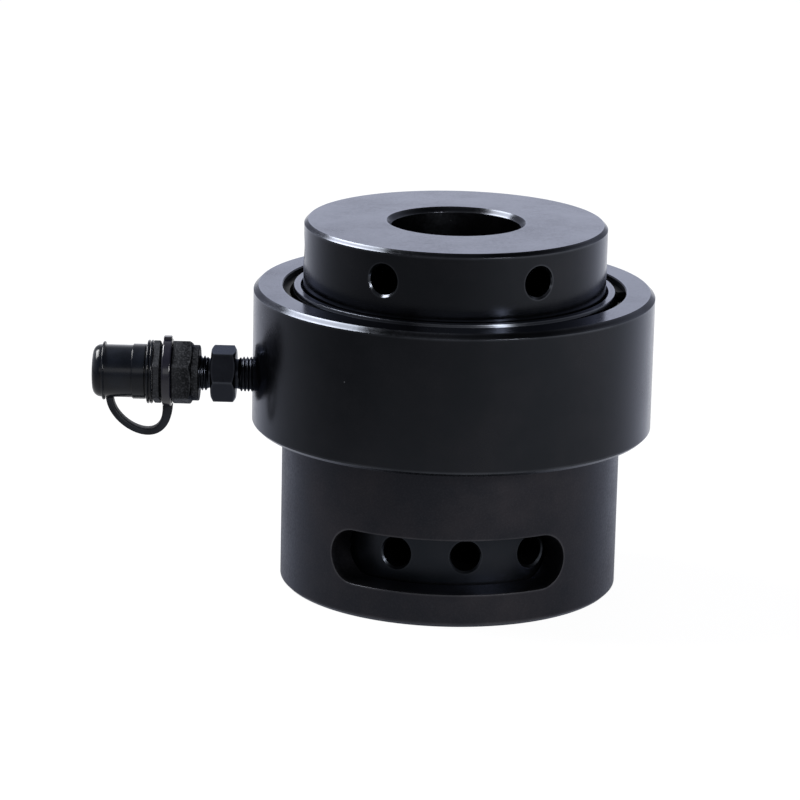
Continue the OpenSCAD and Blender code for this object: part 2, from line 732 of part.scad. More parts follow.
module dust_cap() {
  crown_r = cap_d / 2;
  arc_steps = 6;
  crown = [for (i = [0 : arc_steps]) let (turn = 90 * i / arc_steps)
    [crown_r - cap_round + cap_round * cos(turn), cap_end - cap_round + cap_round * sin(turn)]];
  color(black_rubber) along_port() revolve(concat(
    [[cap_tip_r, cap_floor_s], [cap_tip_r, tip_s + cap_play], [cap_bore_r, tip_s + cap_play],
      [cap_bore_r, cap_s], [cap_flange_d / 2, cap_s], [cap_flange_d / 2, cap_neck_s], [crown_r, cap_neck_s],
      [crown_r, cap_band_s], [cap_band_d / 2, cap_band_s], [cap_band_d / 2, cap_body_s],
      [crown_r, cap_body_s], [crown_r, cap_lip_s], [cap_lip_d / 2, cap_lip_s],
      [cap_lip_d / 2, cap_floor_s], [crown_r, cap_floor_s]],
    crown, [[0, cap_end], [0, cap_floor_s]]));
}

bridge();
bridge_set_screws();
nut_socket();
cylinder_body();
piston_stop_ring();
piston();
outer_piston_seal();
outer_backup_ring();
outer_guide_ring();
inner_piston_seal();
inner_backup_ring();
inner_guide_ring();
puller();
port_adapter();
coupler_body();
coupler_nipple();
coupler_o_ring();
poppet_guide();
poppet_spring();
poppet();
poppet_seal();
strap_ring();
cap_strap();
dust_cap();
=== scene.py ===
# %% [markdown]
# # Dressing a hydraulic bolt tensioner
#
# A bolt tensioner stands over a stud and stretches it with oil pressure, so that the nut can be run down by
# hand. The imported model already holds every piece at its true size. This lesson puts a finished surface
# over each piece that shows: rounded edges, real threads, drilled holes with their chamfers, and steel and
# rubber finishes. Lengths are written in millimetres, as on a shop drawing, and become metres only when a
# mesh is made.

# %% Load the frame
import bmesh
import bpy
import numpy as np
from mathutils import Matrix


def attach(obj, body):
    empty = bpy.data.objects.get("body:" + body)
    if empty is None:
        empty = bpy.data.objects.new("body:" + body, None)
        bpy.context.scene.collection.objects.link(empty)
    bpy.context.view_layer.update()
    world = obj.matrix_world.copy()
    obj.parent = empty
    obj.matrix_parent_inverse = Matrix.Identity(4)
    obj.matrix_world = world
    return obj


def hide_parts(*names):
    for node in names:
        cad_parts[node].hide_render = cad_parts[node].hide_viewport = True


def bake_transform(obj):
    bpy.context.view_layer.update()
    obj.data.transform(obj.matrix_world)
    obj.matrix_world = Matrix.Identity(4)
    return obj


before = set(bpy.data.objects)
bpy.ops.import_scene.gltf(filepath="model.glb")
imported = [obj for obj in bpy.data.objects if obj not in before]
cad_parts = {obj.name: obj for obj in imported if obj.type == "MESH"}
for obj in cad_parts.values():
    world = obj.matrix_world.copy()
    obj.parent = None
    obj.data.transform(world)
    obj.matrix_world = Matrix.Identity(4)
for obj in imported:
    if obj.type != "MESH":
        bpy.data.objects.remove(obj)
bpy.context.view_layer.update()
MM, TAU = 0.001, 2 * np.pi
scene = bpy.context.scene

# %% [markdown]
# ## Camera
#
# The photograph was taken with a long lens from a little above, turned and tilted by about a degree. A camera
# could be placed by eye, but this one is written as the five numbers that were fitted to the object's rims:
# distance, elevation, yaw, pitch and roll. Each turn mixes two of the camera's three directions.

# %% Place the camera
CAMERA_DISTANCE = 1427.15
CAMERA_AIM_Z = 65.0
FOCAL_MM = 170.45
ELEVATION, YAW, PITCH, ROLL = np.radians([15.088, -0.779, 0.142, 1.516])


def mixed(first, second, angle):
    """Turns two directions in their plane: each is its cosine part plus or minus the other's sine part."""
    c, s = np.cos(angle), np.sin(angle)
    return first * c + second * s, second * c - first * s


def placed(item, right, up, back, spot):
    """Puts a camera or lamp into the scene: three directions and a spot are the columns of its matrix."""
    columns = np.eye(4)
    columns[:3] = np.column_stack([right, up, back, spot])
    item.matrix_world = Matrix(columns.tolist())
    scene.collection.objects.link(item)


right = np.array([1.0, 0.0, 0.0])
ahead = np.array([0.0, np.cos(ELEVATION), -np.sin(ELEVATION)])
above = np.cross(right, ahead)
ahead, right = mixed(ahead, right, YAW)
ahead, above = mixed(ahead, above, PITCH)
right, above = mixed(right, above, ROLL)
camera_spot = np.array([0, -CAMERA_DISTANCE * np.cos(ELEVATION),
                        CAMERA_AIM_Z + CAMERA_DISTANCE * np.sin(ELEVATION)])
camera = bpy.data.objects.new("camera", bpy.data.cameras.new("camera"))
camera.data.lens = FOCAL_MM
camera.data.clip_end = 20
placed(camera, right, above, -ahead, camera_spot * MM)
scene.camera = camera
print("camera at", camera_spot.round(1))

# %% [markdown]
# ## Finishes
#
# Nearly everything here is steel with a black-oxide finish: hot alkaline salts turn the skin into a thin
# dark oxide, and oil seals it. It reflects little face-on and a lot at a grazing angle. Each finish below
# is a node tree on Object coordinates, so nothing depends on an unwrap. One function turns hex colours to
# linear, and one adds a node with its settings and links.

# %% Colour and node helpers
def linear(colour):
    """sRGB to linear: a straight part near black, and the power 2.4 above it."""
    channel = np.array([int(colour[i:i + 2], 16) for i in (1, 3, 5)]) / 255
    lifted = np.where(channel <= 0.04045, channel / 12.92, ((channel + 0.055) / 1.055) ** 2.4)
    return (*lifted.tolist(), 1.0)


def add(tree, kind, inputs=(), settings=None, output=0):
    """Adds one node and gives back one of its outputs; an input is a constant, or an output to link from.

    Inputs are listed in the order of the node's sockets, or held in a dict by the socket's name or number.
    """
    made = tree.nodes.new("ShaderNode" + kind)
    for name, value in (settings or {}).items():
        setattr(made, name, value)
    for key, value in inputs.items() if isinstance(inputs, dict) else enumerate(inputs):
        if isinstance(value, bpy.types.NodeSocket):
            tree.links.new(value, made.inputs[key])
        else:
            made.inputs[key].default_value = value
    return made.outputs[output]


def new_finish(name, **sockets):
    """A material with its all-over constants set on the shader, its node tree, and Object coordinates."""
    material = bpy.data.materials.new(name)
    material.use_nodes = True
    tree = material.node_tree
    for key, value in sockets.items():
        tree.nodes["Principled BSDF"].inputs[key.replace("_", " ")].default_value = value
    return material, tree, add(tree, "TexCoord", output="Object")


def linked(material, **outputs):
    """The material, with each output linked to its shader's socket of that name."""
    tree = material.node_tree
    for key, output in outputs.items():
        tree.links.new(output, tree.nodes["Principled BSDF"].inputs[key.replace("_", " ")])
    return material


def per_metre(size_mm):
    """Noise scale that gives features of about that size."""
    return 1 / (size_mm * MM)


PORT_Z = 77.2
COLOUR, TIMES = {"data_type": "RGBA"}, {"operation": "MULTIPLY"}
print("helpers ready, port axis at", PORT_Z)

# %% [markdown]
# ### Blackened steel
#
# A lathe leaves rings finer than a tenth of a millimetre, and the oxide follows them. They are drawn about
# six times coarser here so that they survive at this picture size. The rings come from noise on two numbers
# only, distance from the turning axis and distance along it, so they run round the part. Broad smudges from
# handling change the gloss, rougher cuts show fine pale flecks, a few dust specks sit on the oil, and the
# wear value on each mesh point lets the oxide thin out along edges.

# %% Blackened steel
RING_MM = 0.6
SMUDGE_MM = 24.0
# Grain and flecks are finer than this on the real steel, and are drawn as coarse as they need to show
GRAIN_MM, FLECK_MM = 0.9, 0.6
DUST_MM, DUST_GRAIN_MM, DUST_TONE = 16.0, 0.3, "#b9bcc2"


def blackened_steel(name, dark, warm, worn, gloss, tint, lying=False, ring_depth=0.004, grain=0.0, wear=0.4):
    """Turned steel: noise on (radius, along) for the rings, noise in space for smudges, grain and flecks."""
    material, tree, spot = new_finish(name, Metallic=1.0, Specular_Tint=linear(tint))
    across, offset = ((0, 1, 1), (0, 0, -PORT_Z * MM)) if lying else ((1, 1, 0), (0, 0, 0))
    flat = add(tree, "VectorMath", [spot, across, offset], {"operation": "MULTIPLY_ADD"})
    radius = add(tree, "VectorMath", [flat], {"operation": "LENGTH"}, "Value")
    along = add(tree, "SeparateXYZ", [spot], output="X" if lying else "Z")
    track = add(tree, "CombineXYZ", [radius, along])
    rings, smudge, speck, sand = (
        add(tree, "TexNoise", {"Vector": at, "Scale": per_metre(size), "Detail": detail, "Roughness": blur})
        for at, size, detail, blur in ((track, RING_MM, 2.0, 0.5), (spot, SMUDGE_MM, 5.0, 0.62),
                                       (spot, GRAIN_MM, 3.0, 0.5), (spot, FLECK_MM, 0.0, 0.5)))
    lint = add(tree, "TexVoronoi", {"Vector": spot, "Scale": per_metre(DUST_MM)}, output="Distance")
    thin = add(tree, "Attribute", settings={"attribute_name": "wear"}, output="Fac")
    patchy = add(tree, "MapRange", [smudge, 0.35, 0.62, 0.35 * wear, wear])
    bare = add(tree, "Math", [thin, patchy], TIMES)
    stain = add(tree, "MapRange", [smudge, 0.4, 0.66, 0.0, 1.0])
    fleck = add(tree, "MapRange", [sand, 0.45, 0.75, 0.0, 0.2 * grain * grain])
    reach = DUST_GRAIN_MM / DUST_MM
    dust = add(tree, "MapRange", [lint, 0.6 * reach, reach, 0.6, 0.0])
    tone = linear(dark)
    for share, colour in ((stain, warm), (bare, worn), (fleck, worn), (dust, DUST_TONE)):
        tone = add(tree, "Mix", {0: share, 6: tone, 7: linear(colour)}, COLOUR, 2)
    dull = add(tree, "MapRange", [smudge, 0.3, 0.7, *gloss])
    spread = 0.03 + grain * 0.1
    fine = add(tree, "MapRange", [speck, 0.3, 0.7, -spread, spread])
    rough = add(tree, "Math", [dull, fine], {"operation": "ADD"})
    relief = add(tree, "Math", [speck, 0.1 + grain, rings], {"operation": "MULTIPLY_ADD"})
    bump = add(tree, "Bump", {"Strength": 1.0, "Distance": ring_depth * MM, "Height": relief})
    return linked(material, Base_Color=tone, Roughness=rough, Normal=bump)


print("lathe rings", RING_MM, "mm, smudges", SMUDGE_MM, "mm")

# %% Blackened steel finishes
# Oiled black oxide on fine turning: nearly black face-on, and a cool sheen where it turns away
blued = blackened_steel("blued_steel_turned", "#282a2e", "#2c2d31", "#6b6f77", (0.15, 0.27), "#f1f4ff",
                        wear=0.32)
# The same oxide on a socket that has been handled with bars: a duller sheen
blued_socket = blackened_steel("blued_steel_socket", "#25282d", "#2a2c31", "#6b6f77", (0.3, 0.4), "#f1f4ff",
                               wear=0.1)
# The same oxide gone brown on a rougher cut: a warm, duller black
browned = blackened_steel("browned_steel_turned", "#28292e", "#302f33", "#85858a", (0.34, 0.46), "#eef2ff",
                          ring_depth=0.006, grain=0.3, wear=0.16)
# Black oxide on drawn hex bar: flat faces with a dark sheen
blued_fitting = blackened_steel("blued_steel_fitting", "#26282e", "#2a2c32", "#757a83", (0.26, 0.36),
                                "#ccd0da", lying=True, wear=0.3)
# Manganese phosphate: a crystalline coat that gives a matt, gritty black
phosphated = blackened_steel("phosphated_steel_hex", "#17181a", "#1d1e20", "#5f6166", (0.42, 0.54), "#b9bbc2",
                             lying=True, ring_depth=0.012, grain=1.2)
# Blackened alloy screw: satin black
black_screw = blackened_steel("blackened_set_screw", "#222326", "#2b2b2d", "#6f7378", (0.34, 0.46), "#e4eaff")
print("steel finishes", blued.name, browned.name, blued_fitting.name, phosphated.name, black_screw.name)

# %% [markdown]
# ### Plated and sprung steel
#
# The quick-connect nipple and the check valve are zinc-plated, which stays pale with a faint cloudiness
# from the bath. The valve spring is drawn wire, a little darker and more finely clouded.

# %% Bright steel finishes
def bright_metal(name, pale, cloudy, gloss, cloud_mm):
    """Pale metal whose colour and gloss drift with one noise in space."""
    material, tree, spot = new_finish(name, Metallic=1.0)
    cloud = add(tree, "TexNoise", {"Vector": spot, "Scale": per_metre(cloud_mm), "Detail": 4.0})
    amount = add(tree, "MapRange", [cloud, 0.35, 0.65, 0.0, 1.0])
    tone = add(tree, "Mix", {0: amount, 6: linear(pale), 7: linear(cloudy)}, COLOUR, 2)
    rough = add(tree, "MapRange", [cloud, 0.3, 0.7, *gloss])
    bump = add(tree, "Bump", {"Strength": 0.6, "Distance": 0.01 * MM, "Height": cloud})
    return linked(material, Base_Color=tone, Roughness=rough, Normal=bump)


# Zinc plate, clear passivated: pale, slightly cloudy metal
zinc = bright_metal("zinc_plated_steel", "#c9ccd0", "#a9adb3", (0.2, 0.34), 2.5)
# Drawn spring wire: a darker grey metal with a fine mottle
spring_steel = bright_metal("drawn_spring_steel", "#9a9da2", "#7d8086", (0.24, 0.38), 0.8)
print("bright finishes", zinc.name, spring_steel.name)

# %% [markdown]
# ### Rubber and seal plastics
#
# The cap and its tether are moulded black rubber: satin, with a fine sparkle from the mould's blasted skin
# and a dusty bloom in patches. Inside, the seals are cast polyurethane, ivory PTFE back-up rings, and guide
# rings of cotton cloth set in phenolic resin, whose weave shows as a fine check. The blasted skin is finer
# than the picture can hold, and is drawn as coarse as it needs to show.

# %% Moulded surfaces
BLOOM_MM = 7.0


def moulded(name, deep, dusty, gloss, skin_mm, skin_depth, weave_mm=None, **sockets):
    """Moulded plastic: dust by broad noise, mould skin by fine noise, and a weave from crossed sine waves."""
    material, tree, spot = new_finish(name, **sockets)
    dust = amount = add(tree, "TexNoise", {"Vector": spot, "Scale": per_metre(BLOOM_MM), "Detail": 4.0})
    if weave_mm:
        scale = per_metre(weave_mm * TAU)
        waves = [add(tree, "TexWave", {"Vector": spot, "Scale": scale}, {"bands_direction": axis}, "Fac")
                 for axis in ("DIAGONAL", "Z")]
        skin = add(tree, "Math", waves, TIMES)
        amount = add(tree, "Math", [dust, skin], TIMES)
    else:
        skin = add(tree, "TexNoise", {"Vector": spot, "Scale": per_metre(skin_mm), "Detail": 3.0})
    amount = add(tree, "MapRange", [amount, 0.35, 0.7, 0.0, 1.0])
    tone = add(tree, "Mix", {0: amount, 6: linear(deep), 7: linear(dusty)}, COLOUR, 2)
    rough = add(tree, "MapRange", [dust, 0.3, 0.7, *gloss])
    bump = add(tree, "Bump", {"Strength": 0.8, "Distance": skin_depth * MM, "Height": skin})
    return linked(material, Base_Color=tone, Roughness=rough, Normal=bump)


print("dusty bloom", BLOOM_MM, "mm")

# %% Rubber and plastic finishes
# Moulded nitrile cap: deep black with a soft sheen
cap_rubber = moulded("moulded_black_rubber", "#0a0d13", "#11151d", (0.15, 0.24), 0.35, 0.002,
                     Specular_IOR_Level=0.24)
# The tether's ring, stretched smooth over its groove: the same rubber, glossier
ring_rubber = moulded("moulded_black_rubber_ring", "#11111a", "#1b1a25", (0.14, 0.22), 0.35, 0.002)
# The strap, dulled by handling: the same rubber, matt and a little paler
strap_rubber = moulded("moulded_black_rubber_strap", "#15171c", "#1e2127", (0.4, 0.52), 0.35, 0.004,
                       Specular_IOR_Level=0.16)
# Phosphated spring ring, whose coat scatters light as a plastic does: black, and kept dull and dark as
# painted shade for its groove
stop_ring_black_and_shade = moulded("blackened_spring_ring_and_painted_shade", "#151616", "#1c1d1d", (0.5, 0.6), 0.6, 0.004,
                     Specular_IOR_Level=0.15)
# Nitrile seals: satin black
nitrile = moulded("nitrile_rubber", "#151517", "#1f2022", (0.36, 0.5), 0.3, 0.006)
# Cast polyurethane: a solid blue with a waxy gloss
polyurethane = moulded("cast_polyurethane", "#2f5f9c", "#3d70ab", (0.28, 0.4), 0.5, 0.005)
# Skived PTFE: ivory and waxy
ptfe = moulded("skived_ptfe", "#e3dfd2", "#d3cebe", (0.4, 0.52), 0.3, 0.004)
# Cotton cloth in phenolic resin: brown, with the weave showing through
phenolic = moulded("cloth_phenolic", "#5c3a20", "#7d5430", (0.46, 0.6), 0.5, 0.02, weave_mm=0.5)
print("moulded finishes", cap_rubber.name, nitrile.name, polyurethane.name, ptfe.name, phenolic.name)

# %% [markdown]
# ## Sheets
#
# Every new piece is a handful of sheets. A sheet is a grid of points worked out in one go with numpy,
# together with a wear value for each point and a note of which cells are kept. Building whole arrays keeps
# the code close to the formulas. The sheets share their border points, so a weld closes the piece like
# sewing panels together.

# %% Sheets into pieces
WELD = 0.002
CREASE = np.radians(28)


def sheet(points, wear=0.0, keep=None):
    """A grid of points, how bare each point has been rubbed from 0 to 1, and which of its cells are kept."""
    cells = np.ones((points.shape[0] - 1, points.shape[1] - 1), bool) if keep is None else keep
    return points, np.broadcast_to(wear, points.shape[:2]), cells


def quads_of(points, keep, start):
    """The four point numbers of each kept cell, counted on from start."""
    index = start + np.arange(points.shape[0] * points.shape[1]).reshape(points.shape[:2])
    corners = np.stack([index[:-1, :-1], index[:-1, 1:], index[1:, 1:], index[1:, :-1]], axis=-1)
    return corners[keep]


def mesh_of(name, sheets):
    """Quads from all the grids in one mesh; points closer than the weld distance become one."""
    starts = np.cumsum([0] + [points.shape[0] * points.shape[1] for points, wear, keep in sheets])
    quads = np.concatenate([quads_of(p, keep, start) for (p, wear, keep), start in zip(sheets, starts)])
    used, quads = np.unique(quads, return_inverse=True)
    spots = np.concatenate([points.reshape(-1, 3) for points, wear, keep in sheets])[used] * MM
    rubbed = np.concatenate([wear.reshape(-1) for points, wear, keep in sheets])[used]
    mesh = bpy.data.meshes.new(name)
    mesh.from_pydata(spots.tolist(), [], quads.reshape(-1, 4).tolist())
    mesh.attributes.new("wear", "FLOAT", "POINT").data.foreach_set("value", rubbed.astype(np.float32))
    work = bmesh.new()
    work.from_mesh(mesh)
    bmesh.ops.remove_doubles(work, verts=work.verts, dist=WELD * MM)
    bmesh.ops.recalc_face_normals(work, faces=work.faces)
    open_edges = sum(not edge.is_manifold for edge in work.edges)
    work.to_mesh(mesh)
    work.free()
    print(name, "faces", len(mesh.polygons), "open edges", open_edges)
    return mesh


def add_piece(name, sheets, finish, body, slot, *nodes):
    """Makes the piece, shades it smooth up to the crease angle, ties it to its body and hides the nodes it
    replaces; the slot is not used.
    """
    mesh = mesh_of(name, sheets)
    mesh.shade_smooth()
    mesh.set_sharp_from_angle(angle=CREASE)
    piece = bpy.data.objects.new(name, mesh)
    scene.collection.objects.link(piece)
    mesh.materials.append(finish)
    piece.modifiers.new("even_normals", "WEIGHTED_NORMAL").keep_sharp = True
    if body:
        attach(piece, body)
    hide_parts(*nodes)
    return piece


print("weld", WELD, "mm, crease", round(float(np.degrees(CREASE))), "degrees")

# %% [markdown]
# ## Turned outlines
#
# On the shop floor these parts are turned, so each one starts as an outline carried round an axis. A
# machinist breaks every edge, and the eye reads that thin bright line as real metal. The outline function
# therefore rounds each corner with an arc, and adds a guard row beside the arc so that smooth shading stays
# on the edge.

# %% Outline
def outline(corners, closed=True, guard=0.8, steps=4):
    """Rows (radius, height, wear) of an outline given as corners (radius, height, rounding), anticlockwise.

    With h half the angle at a corner, an arc of radius q touches both runs q / tan h away from the corner,
    and its centre lies q / sin h along the bisector. Outward corners are marked as rubbed.
    """
    given = np.array(corners, float)
    spot, q = given[:, :2], given[:, 2:]
    back = np.roll(spot, 1, axis=0) - spot
    run = np.linalg.norm(back, axis=1, keepdims=True)
    back = back / run
    on = -np.roll(back, -1, axis=0)
    half = np.arccos(np.clip((back * on).sum(1, keepdims=True), -1, 1)) / 2
    reach = q / np.tan(half)
    before = np.minimum(guard, 0.4 * (run - reach - np.roll(reach, 1, axis=0)))
    after = np.roll(before, -1, axis=0)
    bisector = back + on
    bisector = bisector / np.maximum(np.linalg.norm(bisector, axis=1, keepdims=True), 1e-9)
    middle = spot + bisector * q / np.sin(half)
    sweep = np.pi - 2 * half
    t = np.linspace(0, 1, steps + 1)
    scale = np.maximum(np.sin(sweep), 1e-9)
    near = (np.sin((1 - t) * sweep) / scale)[:, :, None] * (spot + back * reach - middle)[:, None]
    far = (np.sin(t * sweep) / scale)[:, :, None] * (spot + on * reach - middle)[:, None]
    arc = middle[:, None] + near + far
    rows = np.concatenate([(spot + back * (reach + before))[:, None], arc,
                           (spot + on * (reach + after))[:, None]], axis=1)
    outward = on[:, 0] * back[:, 1] - on[:, 1] * back[:, 0] > 1e-6
    rub = np.zeros(rows.shape[:2])
    rub[:, 1:-1] = outward[:, None]
    if not closed:
        rub[[0, -1]] = 0
    rows = np.concatenate([rows, rub[:, :, None]], axis=2).reshape(-1, 3)
    if closed:
        return np.concatenate([rows, rows[:1]])
    return rows[steps + 1:len(rows) - steps - 1]


print("rows of a test ring", len(outline([(1, 0, 0.1), (2, 0, 0.1), (2, 1, 0.1), (1, 1, 0.1)])))

# %% Lathe
def points_of(x, y, z):
    """Points from three coordinates, each of them one number or an array."""
    return np.stack(np.broadcast_arrays(x, y, z), axis=-1)


def upright(radius, azimuth, height):
    """A place about the tensioner's own axis; azimuth 0 faces the camera and grows towards the right."""
    return points_of(radius * np.sin(azimuth), -radius * np.cos(azimuth), height)


def sideways(radius, turn, along):
    """A place about the fitting's axis, which runs out to the left at port height; turn 0 is straight up."""
    return points_of(-along, radius * np.sin(turn), PORT_Z + radius * np.cos(turn))


def lathe(rows, turns, place=upright, keep=None):
    """Carries the outline's rows round an axis: row i, column j is point i turned by angle j."""
    return sheet(place(rows[:, :1], turns[None, :], rows[:, 1:2]), rows[:, 2:], keep)


def groove(wall_r, floor_r, first, last, edge):
    """The four corners of a square groove in a wall, in the order in which the outline meets them."""
    return [(wall_r, first, edge), (floor_r, first, 0), (floor_r, last, 0), (wall_r, last, edge)]


def round_turns(count, start_deg=-180.0):
    """Angles once round, with the first one again at the end."""
    return np.radians(start_deg + np.arange(count + 1) * 360.0 / count)


print("columns of a turn in 180 steps", len(round_turns(180)))

# %% [markdown]
# ## Drilled holes
#
# The round holes and the long window run in from a curved wall. A Boolean modifier could cut them, but it
# leaves slivers that spoil the shading. Here a rectangle of cells is left out of the wall, and a patch is
# worked out that runs from the rectangle's own border points to the hole's rim and on down its wall. A hole
# swept sideways makes the window: each border point belongs to the nearest place along the sweep.

# %% Gaps in a wall
def wall_runs(rows, radius):
    """Which runs of the outline lie on its straight wall of that radius."""
    return np.abs(rows[:-1, 0] - radius) + np.abs(rows[1:, 0] - radius) < 1e-4


def with_rows(rows, radius, heights):
    """The outline with extra rows at those heights on its straight wall of that radius."""
    low, high = np.minimum(rows[:-1, 1], rows[1:, 1]), np.maximum(rows[:-1, 1], rows[1:, 1])
    at = np.flatnonzero(wall_runs(rows, radius) & (low < heights[0]) & (high > heights[-1]))[0]
    extra = np.column_stack([np.full_like(heights, radius), heights, np.zeros_like(heights)])
    return np.insert(rows, at + 1, extra if rows[at + 1, 1] > rows[at, 1] else extra[::-1], axis=0)


def gap_cells(rows, turns, radius, heights, first, last):
    """The cells of one wall that lie between two heights and two azimuths."""
    height, turn = (rows[:-1, 1] + rows[1:, 1]) / 2, (turns[:-1] + turns[1:]) / 2
    band = wall_runs(rows, radius) & (height > heights[0]) & (height < heights[-1])
    return band[:, None] & ((turn > first) & (turn < last))[None, :]


def gap_border(turns, heights, first, last):
    """The gap's border as (azimuth, height) pairs, once round and back to the first."""
    across = turns[(turns > first - 1e-6) & (turns < last + 1e-6)]
    low, high = (np.column_stack([across, np.full_like(across, h)]) for h in heights[[0, -1]])
    left, right = (np.column_stack([np.full_like(heights, a), heights]) for a in across[[0, -1]])
    return np.concatenate([low[:-1], right[:-1], high[:0:-1], left[::-1]])


def with_gaps(rows, turns, walls, *gaps):
    """The outline's rows and kept cells once its walls have their gaps, and the border of each gap.

    A gap is given as the heights of its rows, half its width in azimuth, and the azimuths where it is cut.
    """
    for wall_r in walls:
        for heights, half, middles in gaps:
            rows = with_rows(rows, wall_r, heights)
    spans = [(heights, middle - half, middle + half) for heights, half, middles in gaps for middle in middles]
    left_out = [gap_cells(rows, turns, wall_r, *span) for span in spans for wall_r in walls]
    return rows, ~np.any(left_out, axis=0), [gap_border(turns, *span) for span in spans]


print("gap tools ready: rows, cells and borders")

# %% Hole patches
def hole_turn(border, centre, z, radius, sweep=0.0):
    """For each border point, the nearest place along the sweep, and the angle round the hole from there."""
    place = np.clip(border[:, 0], centre - sweep, centre + sweep)
    return place, np.arctan2(border[:, 1] - z, radius * (border[:, 0] - place))


def drilled(place, angle, z, hole_r, depth):
    """A ring of a radial hole: out along the hole's axis by depth, then round it at the hole's radius."""
    side = hole_r * np.cos(angle)
    return points_of(depth * np.sin(place) + side * np.cos(place),
                     side * np.sin(place) - depth * np.cos(place), z + hole_r * np.sin(angle))


def on_wall(hole_r, angle, radius):
    """How far out a ring meets a round wall: the root of the wall's radius squared less the side squared."""
    return np.sqrt(radius ** 2 - (hole_r * np.cos(angle)) ** 2)


def eased(border, ring, wall, count=4):
    """Rows from the gap's border in to a ring, on a wall given as its radius or as a function of azimuth."""
    ring_turn = np.arctan2(ring[:, 0], -ring[:, 1])
    ring_turn = border[:, 0] + (ring_turn - border[:, 0] + np.pi) % TAU - np.pi
    t = np.linspace(0, 1, count)[:, None]
    turn = (1 - t) * border[:, 0] + t * ring_turn
    return upright(wall(turn) if callable(wall) else wall, turn, (1 - t) * border[:, 1] + t * ring[:, 2])


def rim_rows(place, angle, z, hole_r, radius, edge, inward=1):
    """A rounded rim: a quarter arc from the wall down into the hole."""
    t = np.linspace(0, np.pi / 2, 4)
    r = hole_r + edge * (1 - np.sin(t))
    drop = inward * edge * (1 - np.cos(t))
    return np.stack([drilled(place, angle, z, a, on_wall(a, angle, radius) - b) for a, b in zip(r, drop)])


RIM_GUARD = 0.6
print("hole tools ready, guard ring", RIM_GUARD, "mm outside each rim")

# %% [markdown]
# ## Bridge
#
# The bridge carries the pull down to the flange, and its long window lets a tommy bar reach the nut. The
# real one is turned, then milled. Its outline is turned here, and three patches go through the wall: the
# window and two small holes for the screws that hold it to the cylinder's spigot.

# %% Bridge
BRIDGE_R, BRIDGE_BORE_R, BRIDGE_LIP_R = 63.498, 51.498, 47.498
BRIDGE_TOP, BRIDGE_LIP_Z, BRIDGE_CHAMFER = 60.5, 4.0, 1.2
WINDOW_Z, WINDOW_HALF, WINDOW_SWEEP = 22.8, 10.25, np.radians(33)
WINDOW_GAP, WINDOW_ROWS = np.radians(48), np.linspace(9.5, 36.0, 16)
SCREW_Z, SCREW_HOLE_R, SCREW_GAP = 54.0, 3.05, np.radians(8)
SCREW_TURNS, SCREW_ROWS = np.radians([-84.0, 96.0]), np.linspace(49.2, 58.8, 9)
EDGE = 0.18


def through_patch(border, centre, z, hole_r, outer, inner, sweep=0.0):
    """A hole right through a round wall, from the outer gap's border to the inner gap's."""
    place, angle = hole_turn(border, centre, z, outer, sweep)
    guard_r = hole_r + EDGE + RIM_GUARD
    outside, inside = (eased(border, drilled(place, angle, z, guard_r, on_wall(guard_r, angle, r)), r)
                       for r in (outer, inner))
    outer_rim = rim_rows(place, angle, z, hole_r, outer, EDGE)
    inner_rim = rim_rows(place, angle, z, hole_r, inner, EDGE, -1)[::-1]
    t = np.linspace(0, 1, 6)[1:-1, None, None]
    wall = outer_rim[-1] * (1 - t) + inner_rim[0] * t
    rows = np.concatenate([outside, outer_rim, wall, inner_rim, inside[::-1]])
    wear = np.zeros(len(rows))
    wear[len(outside):len(outside) + len(outer_rim)] = 1
    return sheet(rows, wear[:, None])


turns = round_turns(180)
rows = outline([
    (BRIDGE_LIP_R, 0, 0.3), (BRIDGE_R - BRIDGE_CHAMFER, 0, 0.25), (BRIDGE_R, BRIDGE_CHAMFER, 0.25),
    (BRIDGE_R, BRIDGE_TOP, 0.3), (BRIDGE_BORE_R, BRIDGE_TOP, 0.3), (BRIDGE_BORE_R, BRIDGE_LIP_Z, 0.2),
    (BRIDGE_LIP_R, BRIDGE_LIP_Z, 0.3)])
rows, keep, borders = with_gaps(rows, turns, (BRIDGE_R, BRIDGE_BORE_R), (WINDOW_ROWS, WINDOW_GAP, [0.0]),
                                (SCREW_ROWS, SCREW_GAP, SCREW_TURNS))
bridge_sheets = [lathe(rows, turns, keep=keep),
                 through_patch(borders[0], 0.0, WINDOW_Z, WINDOW_HALF, BRIDGE_R, BRIDGE_BORE_R, WINDOW_SWEEP)]
bridge_sheets += [through_patch(border, turn, SCREW_Z, SCREW_HOLE_R, BRIDGE_R, BRIDGE_BORE_R)
                  for border, turn in zip(borders[1:], SCREW_TURNS)]
add_piece("bridge_turned", bridge_sheets, browned, "frame", "browned_steel", "bridge")

# %% [markdown]
# ## Cylinder
#
# The cylinder is the widest part. Its bore holds the ring-shaped piston, its hub guides the puller, and a
# spigot below it centres the bridge. One outline gives all of that, because everything but the oil port is
# turned.

# %% Chamfered holes
HOLE_CHAMFER, HOLE_GUARD = 0.5, 0.6


